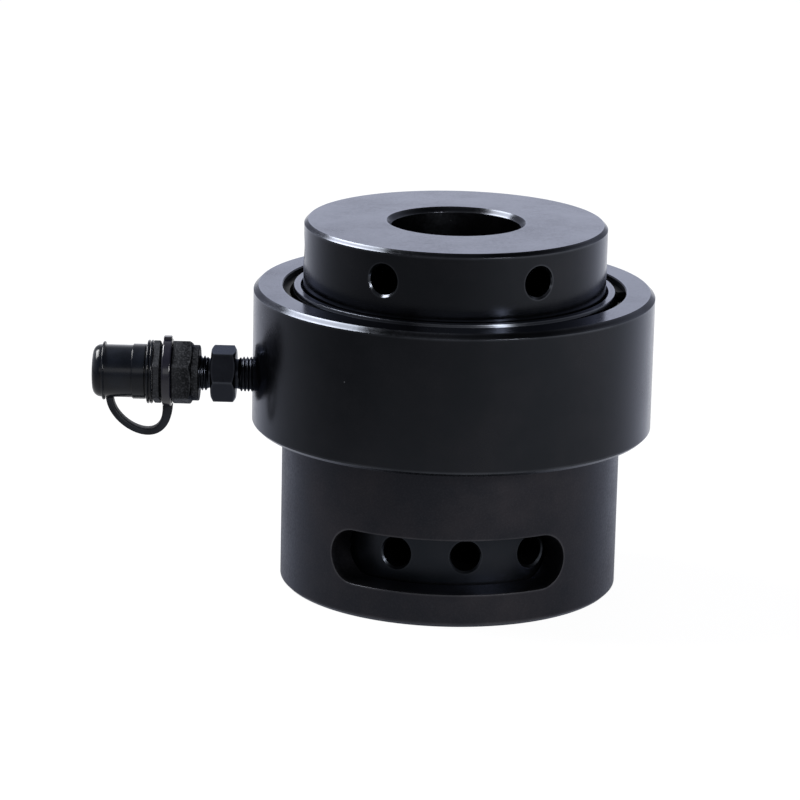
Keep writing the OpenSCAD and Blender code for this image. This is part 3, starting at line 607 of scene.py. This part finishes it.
def chamfered_hole(border, centre, z, radius, hole_r, end_rows):
    """A radial hole with a conical mouth: wall, cone, hole wall, then the rows that end_rows works out.

    The 45 degree cone's radius grows by the depth passed; where it meets the round wall is found in steps.
    """
    place, angle = hole_turn(border, centre, z, radius)
    cone_end = np.sqrt(radius ** 2 - (hole_r + HOLE_CHAMFER) ** 2) - HOLE_CHAMFER
    rim_r = hole_r + 0 * angle
    for _ in range(12):
        rim_r = hole_r + on_wall(rim_r, angle, radius) - cone_end
    guard_r = rim_r + RIM_GUARD
    outside = eased(border, drilled(place, angle, z, guard_r, on_wall(guard_r, angle, radius)), radius)
    rings = [drilled(place, angle, z, rim_r, on_wall(rim_r, angle, radius))]
    rings += [drilled(place, angle, z, hole_r, cone_end - drop) for drop in (0.0, HOLE_GUARD)]
    rows = np.concatenate([outside, rings, end_rows(border, place, angle)])
    wear = np.zeros((len(rows), 1))
    wear[len(outside):len(outside) + 2] = 1
    return sheet(rows, wear)


def flat_end(z, hole_r, depth):
    """The rings that close a blind hole on the middle of its floor."""
    return lambda border, place, angle: [drilled(place, angle, z, hole_r * share, depth)
                                         for share in (1.0, 0.9, 0.4, 0.0)]


print("holes get a chamfer of", HOLE_CHAMFER, "mm")

# %% Cylinder
CYL_R, CYL_LOW, CYL_TOP, FOOT_CHAMFER, TOP_CHAMFER = 75.0, 60.5, 113.1, 1.2, 1.8
SPIGOT_R, SPIGOT_LOW, GUIDE_R, HUB_R, HUB_TOP = 51.448, 47.5, 35, 44.5, 106
BORE_R, BORE_FLOOR, BORE_LEAD = 64, 84, 0.4
PORT_HOLE_R, PORT_END, PORT_GAP, PORT_TURN = 6.6285, 63.0, np.radians(12), -np.pi / 2
PORT_ROWS = np.linspace(PORT_Z - 12, PORT_Z + 12, 15)
rows = outline([
    (GUIDE_R, SPIGOT_LOW, 0.4), (SPIGOT_R, SPIGOT_LOW, 0.4), *groove(SPIGOT_R, 48.448, 50.9, 57.1, 0.2),
    (SPIGOT_R, CYL_LOW, 0), (CYL_R - FOOT_CHAMFER, CYL_LOW, 0.15), (CYL_R, CYL_LOW + FOOT_CHAMFER, 0.15),
    (CYL_R, CYL_TOP - TOP_CHAMFER, 0.15), (CYL_R - TOP_CHAMFER, CYL_TOP, 0.15),
    (BORE_R + BORE_LEAD, CYL_TOP, 0.12), (BORE_R, CYL_TOP - BORE_LEAD, 0.12),
    *groove(BORE_R, 65.8, 110.6, 108.4, 0), (BORE_R, BORE_FLOOR, 0.2), (HUB_R, BORE_FLOOR, 0.2),
    (HUB_R, HUB_TOP, 0.4), (GUIDE_R, HUB_TOP, 0.4)])
rows, keep, borders = with_gaps(rows, turns, [CYL_R], (PORT_ROWS, PORT_GAP, [PORT_TURN]))
port_patch = chamfered_hole(borders[0], PORT_TURN, PORT_Z, CYL_R, PORT_HOLE_R,
                            flat_end(PORT_Z, PORT_HOLE_R, PORT_END))
add_piece("cylinder_turned", [lathe(rows, turns, keep=keep), port_patch], blued, "frame", "blued_steel",
          "cylinder_body")

# %% [markdown]
# ## Piston
#
# Only the piston's rim shows, but the whole section is drawn with its seal and guide grooves, because the
# piston rises ten millimetres and is then seen from the side.

# %% Piston
PISTON_R, PISTON_BORE_R, PULLER_SEAT = 63.95, 44.55, 107.1
SEAL_LOW, SEAL_HIGH, SLIDE_LOW, SLIDE_HIGH = 86.4, 91.4, 93, 96
NECK_R, NECK_LOW, RIM_BORE_R, RECESS_TOP = 60.3, 98.4, 57.4, 86
LEAD_IN, LEAD_IN_HIGH = 0.4, 1.2
piston_rows = outline([
    (PISTON_BORE_R, BORE_FLOOR, 0.2), (50.25, BORE_FLOOR, 0.2), (50.25, RECESS_TOP, 0),
    (58.25, RECESS_TOP, 0), (58.25, BORE_FLOOR, 0.2), (PISTON_R, BORE_FLOOR, 0.3),
    *groove(PISTON_R, 59.5, SEAL_LOW, SEAL_HIGH, 0.1),
    *groove(PISTON_R, 61.5, SLIDE_LOW, SLIDE_HIGH, 0.1), (PISTON_R, NECK_LOW, 0.3), (NECK_R, NECK_LOW, 0.2),
    (NECK_R, CYL_TOP - LEAD_IN_HIGH, 0.2), (NECK_R - LEAD_IN, CYL_TOP, 0.2), (RIM_BORE_R, CYL_TOP, 0.25),
    (RIM_BORE_R, PULLER_SEAT, 0.1), (PISTON_BORE_R, PULLER_SEAT, 0.3),
    *groove(PISTON_BORE_R, 47, SLIDE_HIGH, SLIDE_LOW, 0.1),
    *groove(PISTON_BORE_R, 49, SEAL_HIGH, SEAL_LOW, 0.1)])
add_piece("piston_turned", [lathe(piston_rows, turns)], blued, "piston", "blued_steel", "piston")

# %% [markdown]
# ## Puller
#
# The puller screws down onto the stud that will be stretched, so its stem carries a real thread. A screw
# thread is one profile climbing as it goes round: a point's height is its place on the profile plus the
# pitch times the turns made. Rows sit on the profile's corners, and heights past either end are held there,
# where the entry cone leaves a plain circle to weld to.

# %% Threads
def thread(place, turns, start, end, pitch, steps, profile, limit):
    """A helical sheet: height = row + pitch * turn / full circle, radius = profile at the row, limited."""
    laps = np.arange(np.floor(start / pitch) - 1, np.ceil(end / pitch) + 1)
    level = (laps[:, None] + steps[None, :]).ravel()[:, None] * pitch
    rise = pitch * (turns - turns[0])[None, :] / TAU
    height = np.clip(level + rise, start, end)
    radius = limit(profile(level / pitch % 1.0), height)
    return sheet(place(radius, turns[None, :], height), 0.25)


STUD_MAJOR_R, STUD_MINOR_R, STUD_PITCH = 24.0, 21.294, 5.0
STUD_LOW, STUD_HIGH, RELIEF_R = 47.5, 98.306, 24.1
INNER_STEPS = np.array([0, 2, 4.5, 7, 8, 9, 11.5, 14]) / 16


def inner_metric(share):
    """Metric nut thread: flats of an eighth of the pitch at the root and a quarter at the crest."""
    w = np.abs(2 * share - 1)
    return STUD_MAJOR_R - (STUD_MAJOR_R - STUD_MINOR_R) * np.clip((w - 0.125) / 0.625, 0, 1)


def inner_ends(radius, height):
    """Entry cones of 45 degrees at both ends: the radius is never less than the cone's."""
    return np.maximum(radius, RELIEF_R - np.minimum(height - STUD_LOW, STUD_HIGH - height))


print("stud thread", 2 * STUD_MAJOR_R, "mm, pitch", STUD_PITCH)

# %% Puller
PULLER_R, PULLER_TOP, STEM_R, PULLER_CHAMFER = 56.5, 138.1, 34.0, 1.4
BAR_HOLE_R, BAR_DEEP = 5.5, 22.0
MOUTH_CHAMFER, BORE_WEAR_AND_SHEEN = 1.8, 1.0
PULLER_BAR_Z, PULLER_BAR_TURNS = 126.4, np.radians(-27.3 + 60.0 * np.arange(-2, 4))
BAR_GAP, PULLER_BAR_ROWS = np.radians(12), np.linspace(117.4, 135.2, 13)
puller_turns = round_turns(240, -177.3)
rows = outline([
    (RELIEF_R, STUD_LOW, 0), (STEM_R - 1, STUD_LOW, 0.25), (STEM_R, STUD_LOW + 1, 0.25),
    (STEM_R, PULLER_SEAT, 0.2), (PULLER_R - 1, PULLER_SEAT, 0.2), (PULLER_R, PULLER_SEAT + 1, 0.2),
    (PULLER_R, PULLER_TOP - PULLER_CHAMFER, 0.15), (PULLER_R - PULLER_CHAMFER, PULLER_TOP, 0.15),
    (RELIEF_R + MOUTH_CHAMFER, PULLER_TOP, 0.15), (RELIEF_R, PULLER_TOP - MOUTH_CHAMFER, 0.2),
    (RELIEF_R, STUD_HIGH, 0)], closed=False)
# The bore wall takes the worn colour at full wear: partly wear, partly a painted sheen that lightens the dim
# bore.
rows[rows[:, 0] < RELIEF_R + 1e-3, 2] = BORE_WEAR_AND_SHEEN
rows, keep, borders = with_gaps(rows, puller_turns, [PULLER_R], (PULLER_BAR_ROWS, BAR_GAP, PULLER_BAR_TURNS))
puller_sheets = [lathe(rows, puller_turns, keep=keep),
                 thread(upright, puller_turns, STUD_LOW, STUD_HIGH, STUD_PITCH, INNER_STEPS, inner_metric,
                        inner_ends)]
bar_end = flat_end(PULLER_BAR_Z, BAR_HOLE_R, PULLER_R - BAR_DEEP)
puller_sheets += [chamfered_hole(border, turn, PULLER_BAR_Z, PULLER_R, BAR_HOLE_R, bar_end)
                  for border, turn in zip(borders, PULLER_BAR_TURNS)]
add_piece("puller_turned", puller_sheets, blued, "puller", "blued_steel", "puller")

# %% [markdown]
# ## Nut socket
#
# The socket fits over the nut and is turned through the window by a bar in any of its twelve holes. Its
# outside is turned and its inside is a broached hexagon, so the inner rows of the outline follow the
# hexagon's radius: half the width across flats divided by the cosine of the angle from the nearest flat.

# %% Nut socket
SOCKET_R, SOCKET_LOW, SOCKET_TOP, HEX_HALF = 49.998, 4.0, 46.5, 37.8
SOCKET_BARS = np.radians(7.7 + 30.0 * np.arange(-6, 6))
SOCKET_GAP, SOCKET_ROWS = np.radians(10.5), np.linspace(WINDOW_Z - 9, WINDOW_Z + 9, 13)
SIXTH = np.pi / 3


def hex_radius(turn):
    """The hexagon's radius at an angle, with the middle of one flat at angle 0."""
    return HEX_HALF / np.cos((turn + SIXTH / 2) % SIXTH - SIXTH / 2)


def hex_reach(place, angle, hole_r):
    """How far out along a hole's axis its wall meets the hexagon: the nearest of the flats in its way."""
    axis = np.stack([np.sin(place), -np.cos(place)])
    cross = np.stack([np.cos(place), np.sin(place)])
    flats = np.arange(6) * SIXTH
    normals = np.stack([np.sin(flats), -np.cos(flats)], axis=1)
    ahead = normals @ axis
    reach = (HEX_HALF - (normals @ cross) * hole_r * np.cos(angle)) / np.where(ahead > 0.3, ahead, 1e-3)
    return np.where(ahead > 0.3, reach, np.inf).min(axis=0)


def hex_end(border, place, angle):
    """The hole's end on the hexagon's flats, and the flats from there out to the gap's border."""
    ring, guard = (drilled(place, angle, WINDOW_Z, r, hex_reach(place, angle, r))
                   for r in (BAR_HOLE_R, BAR_HOLE_R + RIM_GUARD))
    return np.concatenate([[ring], eased(border, guard, hex_radius)[::-1]])


socket_turns = round_turns(240, -187.3)
hex_corners = SIXTH * (np.arange(6) - 3.5)
hex_corners = hex_corners + TAU * (hex_corners < socket_turns[0])
socket_turns = np.sort(np.concatenate([socket_turns, hex_corners]))
rows = outline([
    (HEX_HALF, SOCKET_LOW, 0.3), (SOCKET_R - 1, SOCKET_LOW, 0.25), (SOCKET_R, SOCKET_LOW + 1, 0.25),
    (SOCKET_R, SOCKET_TOP - 1, 0.25), (SOCKET_R - 1, SOCKET_TOP, 0.25), (HEX_HALF, SOCKET_TOP, 0.3)])
rows, keep, borders = with_gaps(rows, socket_turns, (SOCKET_R, HEX_HALF),
                                (SOCKET_ROWS, SOCKET_GAP, SOCKET_BARS))
extra_r = np.where(rows[:, :1] < HEX_HALF + 2, hex_radius(socket_turns)[None, :] - HEX_HALF, 0)
body_points = upright(rows[:, :1] + extra_r, socket_turns[None, :], rows[:, 1:2])
socket_sheets = [sheet(body_points, rows[:, 2:], keep)]
socket_sheets += [chamfered_hole(border, turn, WINDOW_Z, SOCKET_R, BAR_HOLE_R, hex_end)
                  for border, turn in zip(borders, SOCKET_BARS)]
add_piece("socket_broached", socket_sheets, blued_socket, "nut_socket", "blued_steel", "nut_socket")

# %% [markdown]
# ## Oil fitting
#
# A double-ended adapter screws into the oil port, and a quick-connect coupler screws onto it. Their hexes
# are bar stock with the corners turned off at 30 degrees. A hexagon with slightly soft corners is the sum
# of three cosines raised to a high power; the columns crowd towards the corners, where the shape changes
# quickest.

# %% Hexagons and pipe thread
FROM_CORNER = np.array([0, 0.7, 1.5, 2.6, 4.5, 8, 13, 18, 24, 30.0])
BSP_R, BSP_PITCH, BSP_DEPTH, ADAPTER_RELIEF, OIL_R = 6.5785, 1.337, 0.856, 5.58, 2.0
BSP_STEPS = np.arange(8) / 8
BREAK, HEX_GUARD = 0.3, 0.7


def corner_turns(corner_deg):
    """Angles once round, crowded towards the six corners."""
    half = np.concatenate([FROM_CORNER, 60 - FROM_CORNER[-2:0:-1]])
    return np.radians(corner_deg + np.append((60 * np.arange(6)[:, None] + half).ravel(), 360.0))


def soft_hex(turn, half, corner_deg, power=90):
    """A hexagon with soft corners: (sum of |cos(angle to flat) / half width| ^ power) ^ (-1 / power)."""
    flats = np.radians(corner_deg + 30 + 60 * np.arange(3))[:, None]
    return (np.abs(np.cos(turn - flats) / half) ** power).sum(axis=0) ** (-1 / power)


def hex_rub(rows, turns, corner_deg, plain, edges, least):
    """Wear of a hexagon's rows: full at its corners, none on plain rows, and not under least on edge rows."""
    away = np.abs((np.degrees(turns) - corner_deg + 30) % 60 - 30)
    rub = np.zeros((len(rows), 1)) + np.clip(1 - away / 3.0, 0, 1)
    rub[plain] = 0
    rub[edges] = np.maximum(rub[edges], least)
    return rub


def outer_pipe(share):
    """Pipe thread of 55 degrees with round crests and roots: a softened triangle wave."""
    w = np.clip((np.abs(2 * share - 1) - 0.14) / 0.72, 0, 1)
    return BSP_R - BSP_DEPTH * w * w * (3 - 2 * w)


def pipe_ends(start, end):
    """Cones at both ends that bring the thread down to the relief's radius."""
    return lambda radius, along: np.minimum(radius, ADAPTER_RELIEF + np.minimum(along - start, end - along))


def hex_band(turns, corner_deg, half, low, high, both_ends=True):
    """Rows (radius, along) of a hexagon between its end faces, with corners turned off at 30 degrees."""
    face_r = half - BREAK
    r = soft_hex(turns, half, corner_deg)
    cut = np.maximum(r - face_r, 0) * np.tan(np.radians(30))
    rows = [(face_r, low), (r, low + cut), (r, low + cut + HEX_GUARD)]
    if both_ends:
        return rows + [(r, high - cut - HEX_GUARD), (r, high - cut), (face_r, high)]
    return rows + [(r, high)]


def banded(rows, turns, wear):
    """A sheet about the fitting's axis from rows of (radius, along) arrays."""
    radius, along = (np.stack([row[i] + 0 * turns for row in rows]) for i in (0, 1))
    return sheet(sideways(radius, turns[None, :], along), wear)


print("pipe thread", 2 * BSP_R, "mm, pitch", BSP_PITCH)

# %% Adapter
ADAPTER_CORNER, ADAPTER_HALF, ADAPTER_HEX = -35.3, 9.5, (81.2, 90.5)
ADAPTER_LOW, LOW_NECK, HIGH_NECK, ADAPTER_HIGH = PORT_END, 80.3, 91.4, 102.4
bar_turns = corner_turns(ADAPTER_CORNER)
middle_rows = [
    (ADAPTER_RELIEF, LOW_NECK), (ADAPTER_RELIEF, ADAPTER_HEX[0]),
    *hex_band(bar_turns, ADAPTER_CORNER, ADAPTER_HALF, *ADAPTER_HEX),
    (ADAPTER_RELIEF, ADAPTER_HEX[1]), (ADAPTER_RELIEF, HIGH_NECK)]
rub = hex_rub(middle_rows, bar_turns, ADAPTER_CORNER, [0, 1, -2, -1], [3, 6], 0.6)
adapter_sheets = [banded(middle_rows, bar_turns, rub)]
adapter_sheets += [thread(sideways, bar_turns, start, end, BSP_PITCH, BSP_STEPS, outer_pipe,
                          pipe_ends(start, end))
                   for start, end in ((ADAPTER_LOW, LOW_NECK), (HIGH_NECK, ADAPTER_HIGH))]
adapter_sheets.append(banded([(ADAPTER_RELIEF, ADAPTER_LOW), (OIL_R, ADAPTER_LOW), (OIL_R, ADAPTER_HIGH),
                              (ADAPTER_RELIEF, ADAPTER_HIGH)], bar_turns, 0.0))
add_piece("adapter_threaded", adapter_sheets, blued_fitting, "frame", "blued_fitting", "port_adapter")

# %% Coupler
COUPLER_CORNER, COUPLER_HALF, GROOVE_R, COLLAR_R = -6.9, 11.0, 9.6, 10.5
COUPLER_LOW, COUPLER_HIGH, COUPLER_HEX = 94.9, 112.1, (97.5, 104.7)
GROOVE_LOW, GROOVE_HIGH, NIPPLE_HOLE_R, NIPPLE_SEAT = 105.0, 109.4, 7.05, 103.9
coupler_turns = corner_turns(COUPLER_CORNER)
hex_r = soft_hex(coupler_turns, COUPLER_HALF, COUPLER_CORNER)
coupler_rows = [
    (PORT_HOLE_R, COUPLER_LOW), (COLLAR_R - BREAK, COUPLER_LOW), (COLLAR_R, COUPLER_LOW + BREAK),
    (COLLAR_R, COUPLER_HEX[0]),
    *hex_band(coupler_turns, COUPLER_CORNER, COUPLER_HALF, *COUPLER_HEX, both_ends=False),
    (hex_r - BREAK, GROOVE_LOW), (GROOVE_R, GROOVE_LOW), (GROOVE_R, GROOVE_HIGH),
    (hex_r - BREAK, GROOVE_HIGH), (hex_r, GROOVE_HIGH + BREAK), (hex_r, COUPLER_HIGH - BREAK),
    (hex_r - BREAK, COUPLER_HIGH), (NIPPLE_HOLE_R, COUPLER_HIGH), (NIPPLE_HOLE_R, NIPPLE_SEAT),
    (OIL_R, NIPPLE_SEAT), (OIL_R, ADAPTER_HIGH), (PORT_HOLE_R, ADAPTER_HIGH), (PORT_HOLE_R, COUPLER_LOW)]
rub = hex_rub(coupler_rows, coupler_turns, COUPLER_CORNER, [0, 1, -6, -5, -4, -3, -2, -1],
              [2, 5, 7, 8, 11, 12, 13, 14], 0.7)
add_piece("coupler_hex_body", [banded(coupler_rows, coupler_turns, rub)], phosphated, "frame",
          "phosphated_steel", "coupler_body")

# %% [markdown]
# ## Cap and tether
#
# A rubber cap keeps dirt out of the coupler, and hangs from a rubber ring by a short strap. The real set is
# one moulding, bent round on fitting. The ring and cap are turned outlines about the fitting's axis. The
# strap is a flat oval section carried along a curve with four control points, and it bends between ring and
# cap.

# %% Tether ring
RING_IN, RING_OUT, RING_LOW, RING_HIGH = 9.8, 12.9, 105.2, 108.6
RING_MID, TAB_HALF, TAB_TOP, TAB_ROUND = 106.9, 1.6, 13.9, 0.35


def tab_sheet(half, low, high, edge):
    """A block standing on the ring: a rounded square, sides cos^0.3 and sin^0.3, drawn in at the top edge."""
    angle = np.linspace(0, TAU, 49)[None, :]
    aside, along = (half * np.sign(wave) * np.abs(wave) ** 0.3 for wave in (np.sin(angle), np.cos(angle)))
    t = np.radians([0, 22, 45, 68, 90])
    share = np.concatenate([[0, 1], 1 - edge / half * (1 - np.cos(t)), [0]])[:, None]
    up = np.concatenate([[low, low], high - edge * (1 - np.sin(t)), [high]])[:, None]
    return sheet(points_of(-RING_MID - along * share, aside * share, PORT_Z + up))


ring_rows = outline([(RING_IN, RING_LOW, 0.3), (RING_OUT, RING_LOW, 0.6), (RING_OUT, RING_HIGH, 0.6),
                     (RING_IN, RING_HIGH, 0.3)], guard=0.2)
add_piece("tether_ring", [lathe(ring_rows, round_turns(144), sideways),
                          tab_sheet(TAB_HALF, RING_OUT - 1.2, TAB_TOP, TAB_ROUND)],
          ring_rubber, "cap_tether", "cap_rubber", "strap_ring")

# %% Tether strap
STRAP_W, STRAP_T = 5.0, 2.7
STRAP_LINE = np.array([(-12.6, 106.9), (-31.4, 106.9), (-21.2, 128.2), (-10.0, 128.75)])


def strap_sheet(line, width, thick, steps=48, round_count=40):
    """A flat oval carried along a cubic: path + across * thick * cos^0.5 + sideways * width * sin^0.5.

    The thickness swells towards both ends, by the fourth power of the distance from the other end.
    """
    t = np.linspace(0, 1, steps)[:, None]
    thick = thick * (0.94 + 0.5 * (1 - t) ** 4 + 0.15 * t ** 4)
    weights = np.concatenate([(1 - t) ** 3, 3 * t * (1 - t) ** 2, 3 * t * t * (1 - t), t ** 3], axis=1)
    path = weights @ line
    run = np.gradient(path, axis=0)
    run = run / np.linalg.norm(run, axis=1, keepdims=True)
    angle = np.linspace(0, TAU, round_count + 1)[None, :]
    across = thick / 2 * np.sign(np.cos(angle)) * np.abs(np.cos(angle)) ** 0.5
    aside = width / 2 * np.sign(np.sin(angle)) * np.abs(np.sin(angle)) ** 0.5
    up = path[:, :1] - run[:, 1:] * across
    along = path[:, 1:] + run[:, :1] * across
    points = points_of(-along, aside, PORT_Z + up)
    ends = points[[0, -1]].mean(axis=1, keepdims=True) + 0 * points[[0, -1]]
    return sheet(np.concatenate([ends[:1], points, ends[1:]]))


strap = add_piece("tether_strap", [strap_sheet(STRAP_LINE, STRAP_W, STRAP_T)], strap_rubber, None,
                  "cap_rubber", "cap_strap")
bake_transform(strap)

# %% Dust cap
CAP_R, CAP_HOLE_R, CAP_LIP_R, CAP_END, CAP_STOP = 9.9, 8.3, 12, 135.1, 131.3
cap_rows = outline([
    (0, CAP_STOP, 0), (6.3, CAP_STOP, 0.4), (6.3, 124.4, 0.3), (CAP_HOLE_R, 124.4, 0.4),
    (CAP_HOLE_R, 112.4, 0.3), (CAP_LIP_R, 112.4, 0.38), (CAP_LIP_R, 113.25, 0.38), (11.1, 113.25, 0.1),
    (11.1, 113.65, 0.1), (CAP_LIP_R, 113.65, 0.38), (CAP_LIP_R, 114.5, 0.38), (CAP_R, 114.5, 0.2),
    (CAP_R, 115.1, 0.1), (10.4, 115.1, 0.3), (10.4, 120.0, 0.3), (CAP_R, 120.0, 0.15), (CAP_R, 130.4, 0.15),
    (11.05, 130.4, 0.4), (11.05, CAP_STOP, 0.4), (CAP_R, CAP_STOP, 0.15), (CAP_R, CAP_END, 3.2),
    (0, CAP_END, 0)], closed=False, guard=0.5, steps=6)
add_piece("rubber_cap", [lathe(cap_rows, round_turns(120), sideways)], cap_rubber, "dust_cap", "cap_rubber",
          "dust_cap")

# %% [markdown]
# ## Valve spring
#
# Inside the coupler a small coil spring holds the check poppet shut. It has to close up when the poppet is
# pushed in, so it can't ride on one body. A round wire carried along a helix gives the coils.

# %% Valve spring
SPRING_R, WIRE_R, SPRING_COILS, SPRING_LOW, SPRING_HIGH = 2.775, 0.45, 6, 105.95, 121.5


def coil_sheet(radius, wire, coils, low, high, steps=180, round_count=12):
    """A wire along a helix: radius + wire * cos(side) out, and rise * share + wire * sin(side) along."""
    share = np.linspace(0, 1, steps)[:, None]
    side = np.linspace(0, TAU, round_count + 1)[None, :]
    share = np.concatenate([share[:1], share, share[-1:]])
    size = np.concatenate([[0], np.ones(steps), [0]])[:, None] * wire
    return sheet(sideways(radius + size * np.cos(side), TAU * coils * share,
                          low + (high - low) * share + size * np.sin(side)))


spring = add_piece("valve_spring", [coil_sheet(SPRING_R, WIRE_R, SPRING_COILS, SPRING_LOW, SPRING_HIGH)],
                   spring_steel, None, "spring_steel", "poppet_spring")
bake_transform(spring)

# %% [markdown]
# ## Pieces that keep their solid
#
# The seals, the valve and the screws have the right shape already. They keep their solids and take the
# finish of their real material.

# %% Finishes on the remaining solids
# The stop ring's dull black is partly its phosphate coat and partly painted shade for its groove.
KEPT = {"bridge_set_screws": black_screw, "piston_stop_ring": stop_ring_black_and_shade, "coupler_nipple": zinc,
        "coupler_o_ring": nitrile, "poppet_guide": zinc, "poppet": zinc, "poppet_seal": nitrile}
for side in ("outer", "inner"):
    KEPT |= {side + "_piston_seal": polyurethane, side + "_backup_ring": ptfe, side + "_guide_ring": phenolic}
for name, finish in KEPT.items():
    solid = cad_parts[name]
    solid.data.materials.clear()
    solid.data.materials.append(finish)
print("solids with a finish of their own", len(KEPT))

# %% [markdown]
# ## Studio
#
# The photograph has a pure white ground with no shadow, as on a light table, and the upright walls reflect
# that table: darker at the left and in front, brighter at the right. The table therefore glows by itself,
# evenly to the eye, and by a slope for what the steel reflects, with a soft dark card at the left. Under the
# tool it has painted shade: inside the bridge's foot it turns near-black and does not glow. The sky is paler
# behind than in front, dims overhead, and has a soft dark card on either side, which draws the darker
# stripes down the round walls. Places in the studio are in metres.

# %% Light table
TABLE_SIDE, CARD_SPOT, SLOPE = 4.0, (-0.36, -0.21, 0), (0.65, 0.76, 0)
PAINTED_SHADE_IN, PAINTED_SHADE_OUT, GROUND_GLOW = 54 * MM, 55 * MM, 0.95
corners = [(x * TABLE_SIDE, y * TABLE_SIDE, 0) for x, y in ((-1, -1), (1, -1), (1, 1), (-1, 1))]
table_mesh = bpy.data.meshes.new("light_table")
table_mesh.from_pydata(corners, [], [(0, 1, 2, 3)])
table = bpy.data.objects.new("light_table", table_mesh)
scene.collection.objects.link(table)
opal, tree, spot = new_finish("opal_acrylic", Roughness=0.9, Specular_IOR_Level=0.1,
                              Emission_Color=(1, 1, 1, 1))
slope = add(tree, "VectorMath", [spot, SLOPE], {"operation": "DOT_PRODUCT"}, "Value")
reflected = add(tree, "MapRange", [slope, -0.53, 0.35, 0.17, 0.92])
from_card = add(tree, "VectorMath", [spot, CARD_SPOT], {"operation": "DISTANCE"}, "Value")
card = add(tree, "MapRange", [from_card, 0.05, 0.2, 0.5, 1.0])
reflected = add(tree, "Math", [reflected, card], TIMES)
# Painted shade: inside the bridge's foot the table is near-black and gives no glow, so the floor seen through
# the window and bores stays dark.
from_axis = add(tree, "VectorMath", [spot], {"operation": "LENGTH"}, "Value")
outside = add(tree, "MapRange", [from_axis, PAINTED_SHADE_IN, PAINTED_SHADE_OUT, 0.0, 1.0])
shade = add(tree, "Mix", {0: outside, 6: linear("#0c0c0d"), 7: linear("#4a4a4c")}, COLOUR, 2)
seen = add(tree, "LightPath", output="Is Camera Ray")
glow = add(tree, "Mix", {0: seen, 2: reflected, 3: GROUND_GLOW})
glow = add(tree, "Math", [glow, outside], TIMES)
table_mesh.materials.append(linked(opal, Base_Color=shade, Emission_Strength=glow))
print("light table", 2 * TABLE_SIDE, "m wide")

# %% Sky and lights
SIDE_CARD_AT, CENTRE = 0.42, (0, 0, 0.1)
world = bpy.data.worlds.new("room")
scene.world = world
world.use_nodes = True
sky = world.node_tree
heading = add(sky, "TexCoord", output="Generated")
side, depth, rise = (add(sky, "SeparateXYZ", [heading], output=axis) for axis in "XYZ")
behind = add(sky, "MapRange", [depth, -0.6, 0.7, 0.4, 1.38])
ceiling = add(sky, "MapRange", [rise, 0.3, 0.75, 1.0, 0.3])
aside = add(sky, "Math", [side], {"operation": "ABSOLUTE"})
from_side = add(sky, "Math", [aside, SIDE_CARD_AT], {"operation": "SUBTRACT"})
from_side = add(sky, "Math", [from_side], {"operation": "ABSOLUTE"})
side_card = add(sky, "MapRange", [from_side, 0.1, 0.28, 0.3, 1.0])
glow = add(sky, "Math", [add(sky, "Math", [behind, ceiling], TIMES), side_card], TIMES)
sky.nodes["Background"].inputs["Color"].default_value = linear("#f4f6ff")
sky.links.new(glow, sky.nodes["Background"].inputs["Strength"])


def softbox(name, spot, width, height, radiance):
    """A rectangular light that faces the tool; its power is radiance times pi times its area."""
    lamp = bpy.data.lights.new(name, "AREA")
    lamp.shape = "RECTANGLE"
    lamp.size, lamp.size_y = width, height
    lamp.energy = radiance * np.pi * width * height
    box = bpy.data.objects.new(name, lamp)
    back = np.array(spot, float) - np.array(CENTRE, float)
    back = back / np.linalg.norm(back)
    side = np.cross([0.0, 1.0, 0.02], back)
    side = side / np.linalg.norm(side)
    box.visible_camera = False
    placed(box, side, np.cross(back, side), back, spot)


softbox("key", (-0.78, 0.26, 0.98), 0.45, 0.8, 22.0)
softbox("front_fill", (0.0, -1.92, 0.65), 1.8, 0.6, 0.9)
softbox("front_spark", (0.70, -1.085, 0.65), 0.44, 0.18, 45.0)
scene.view_settings.view_transform = "Standard"
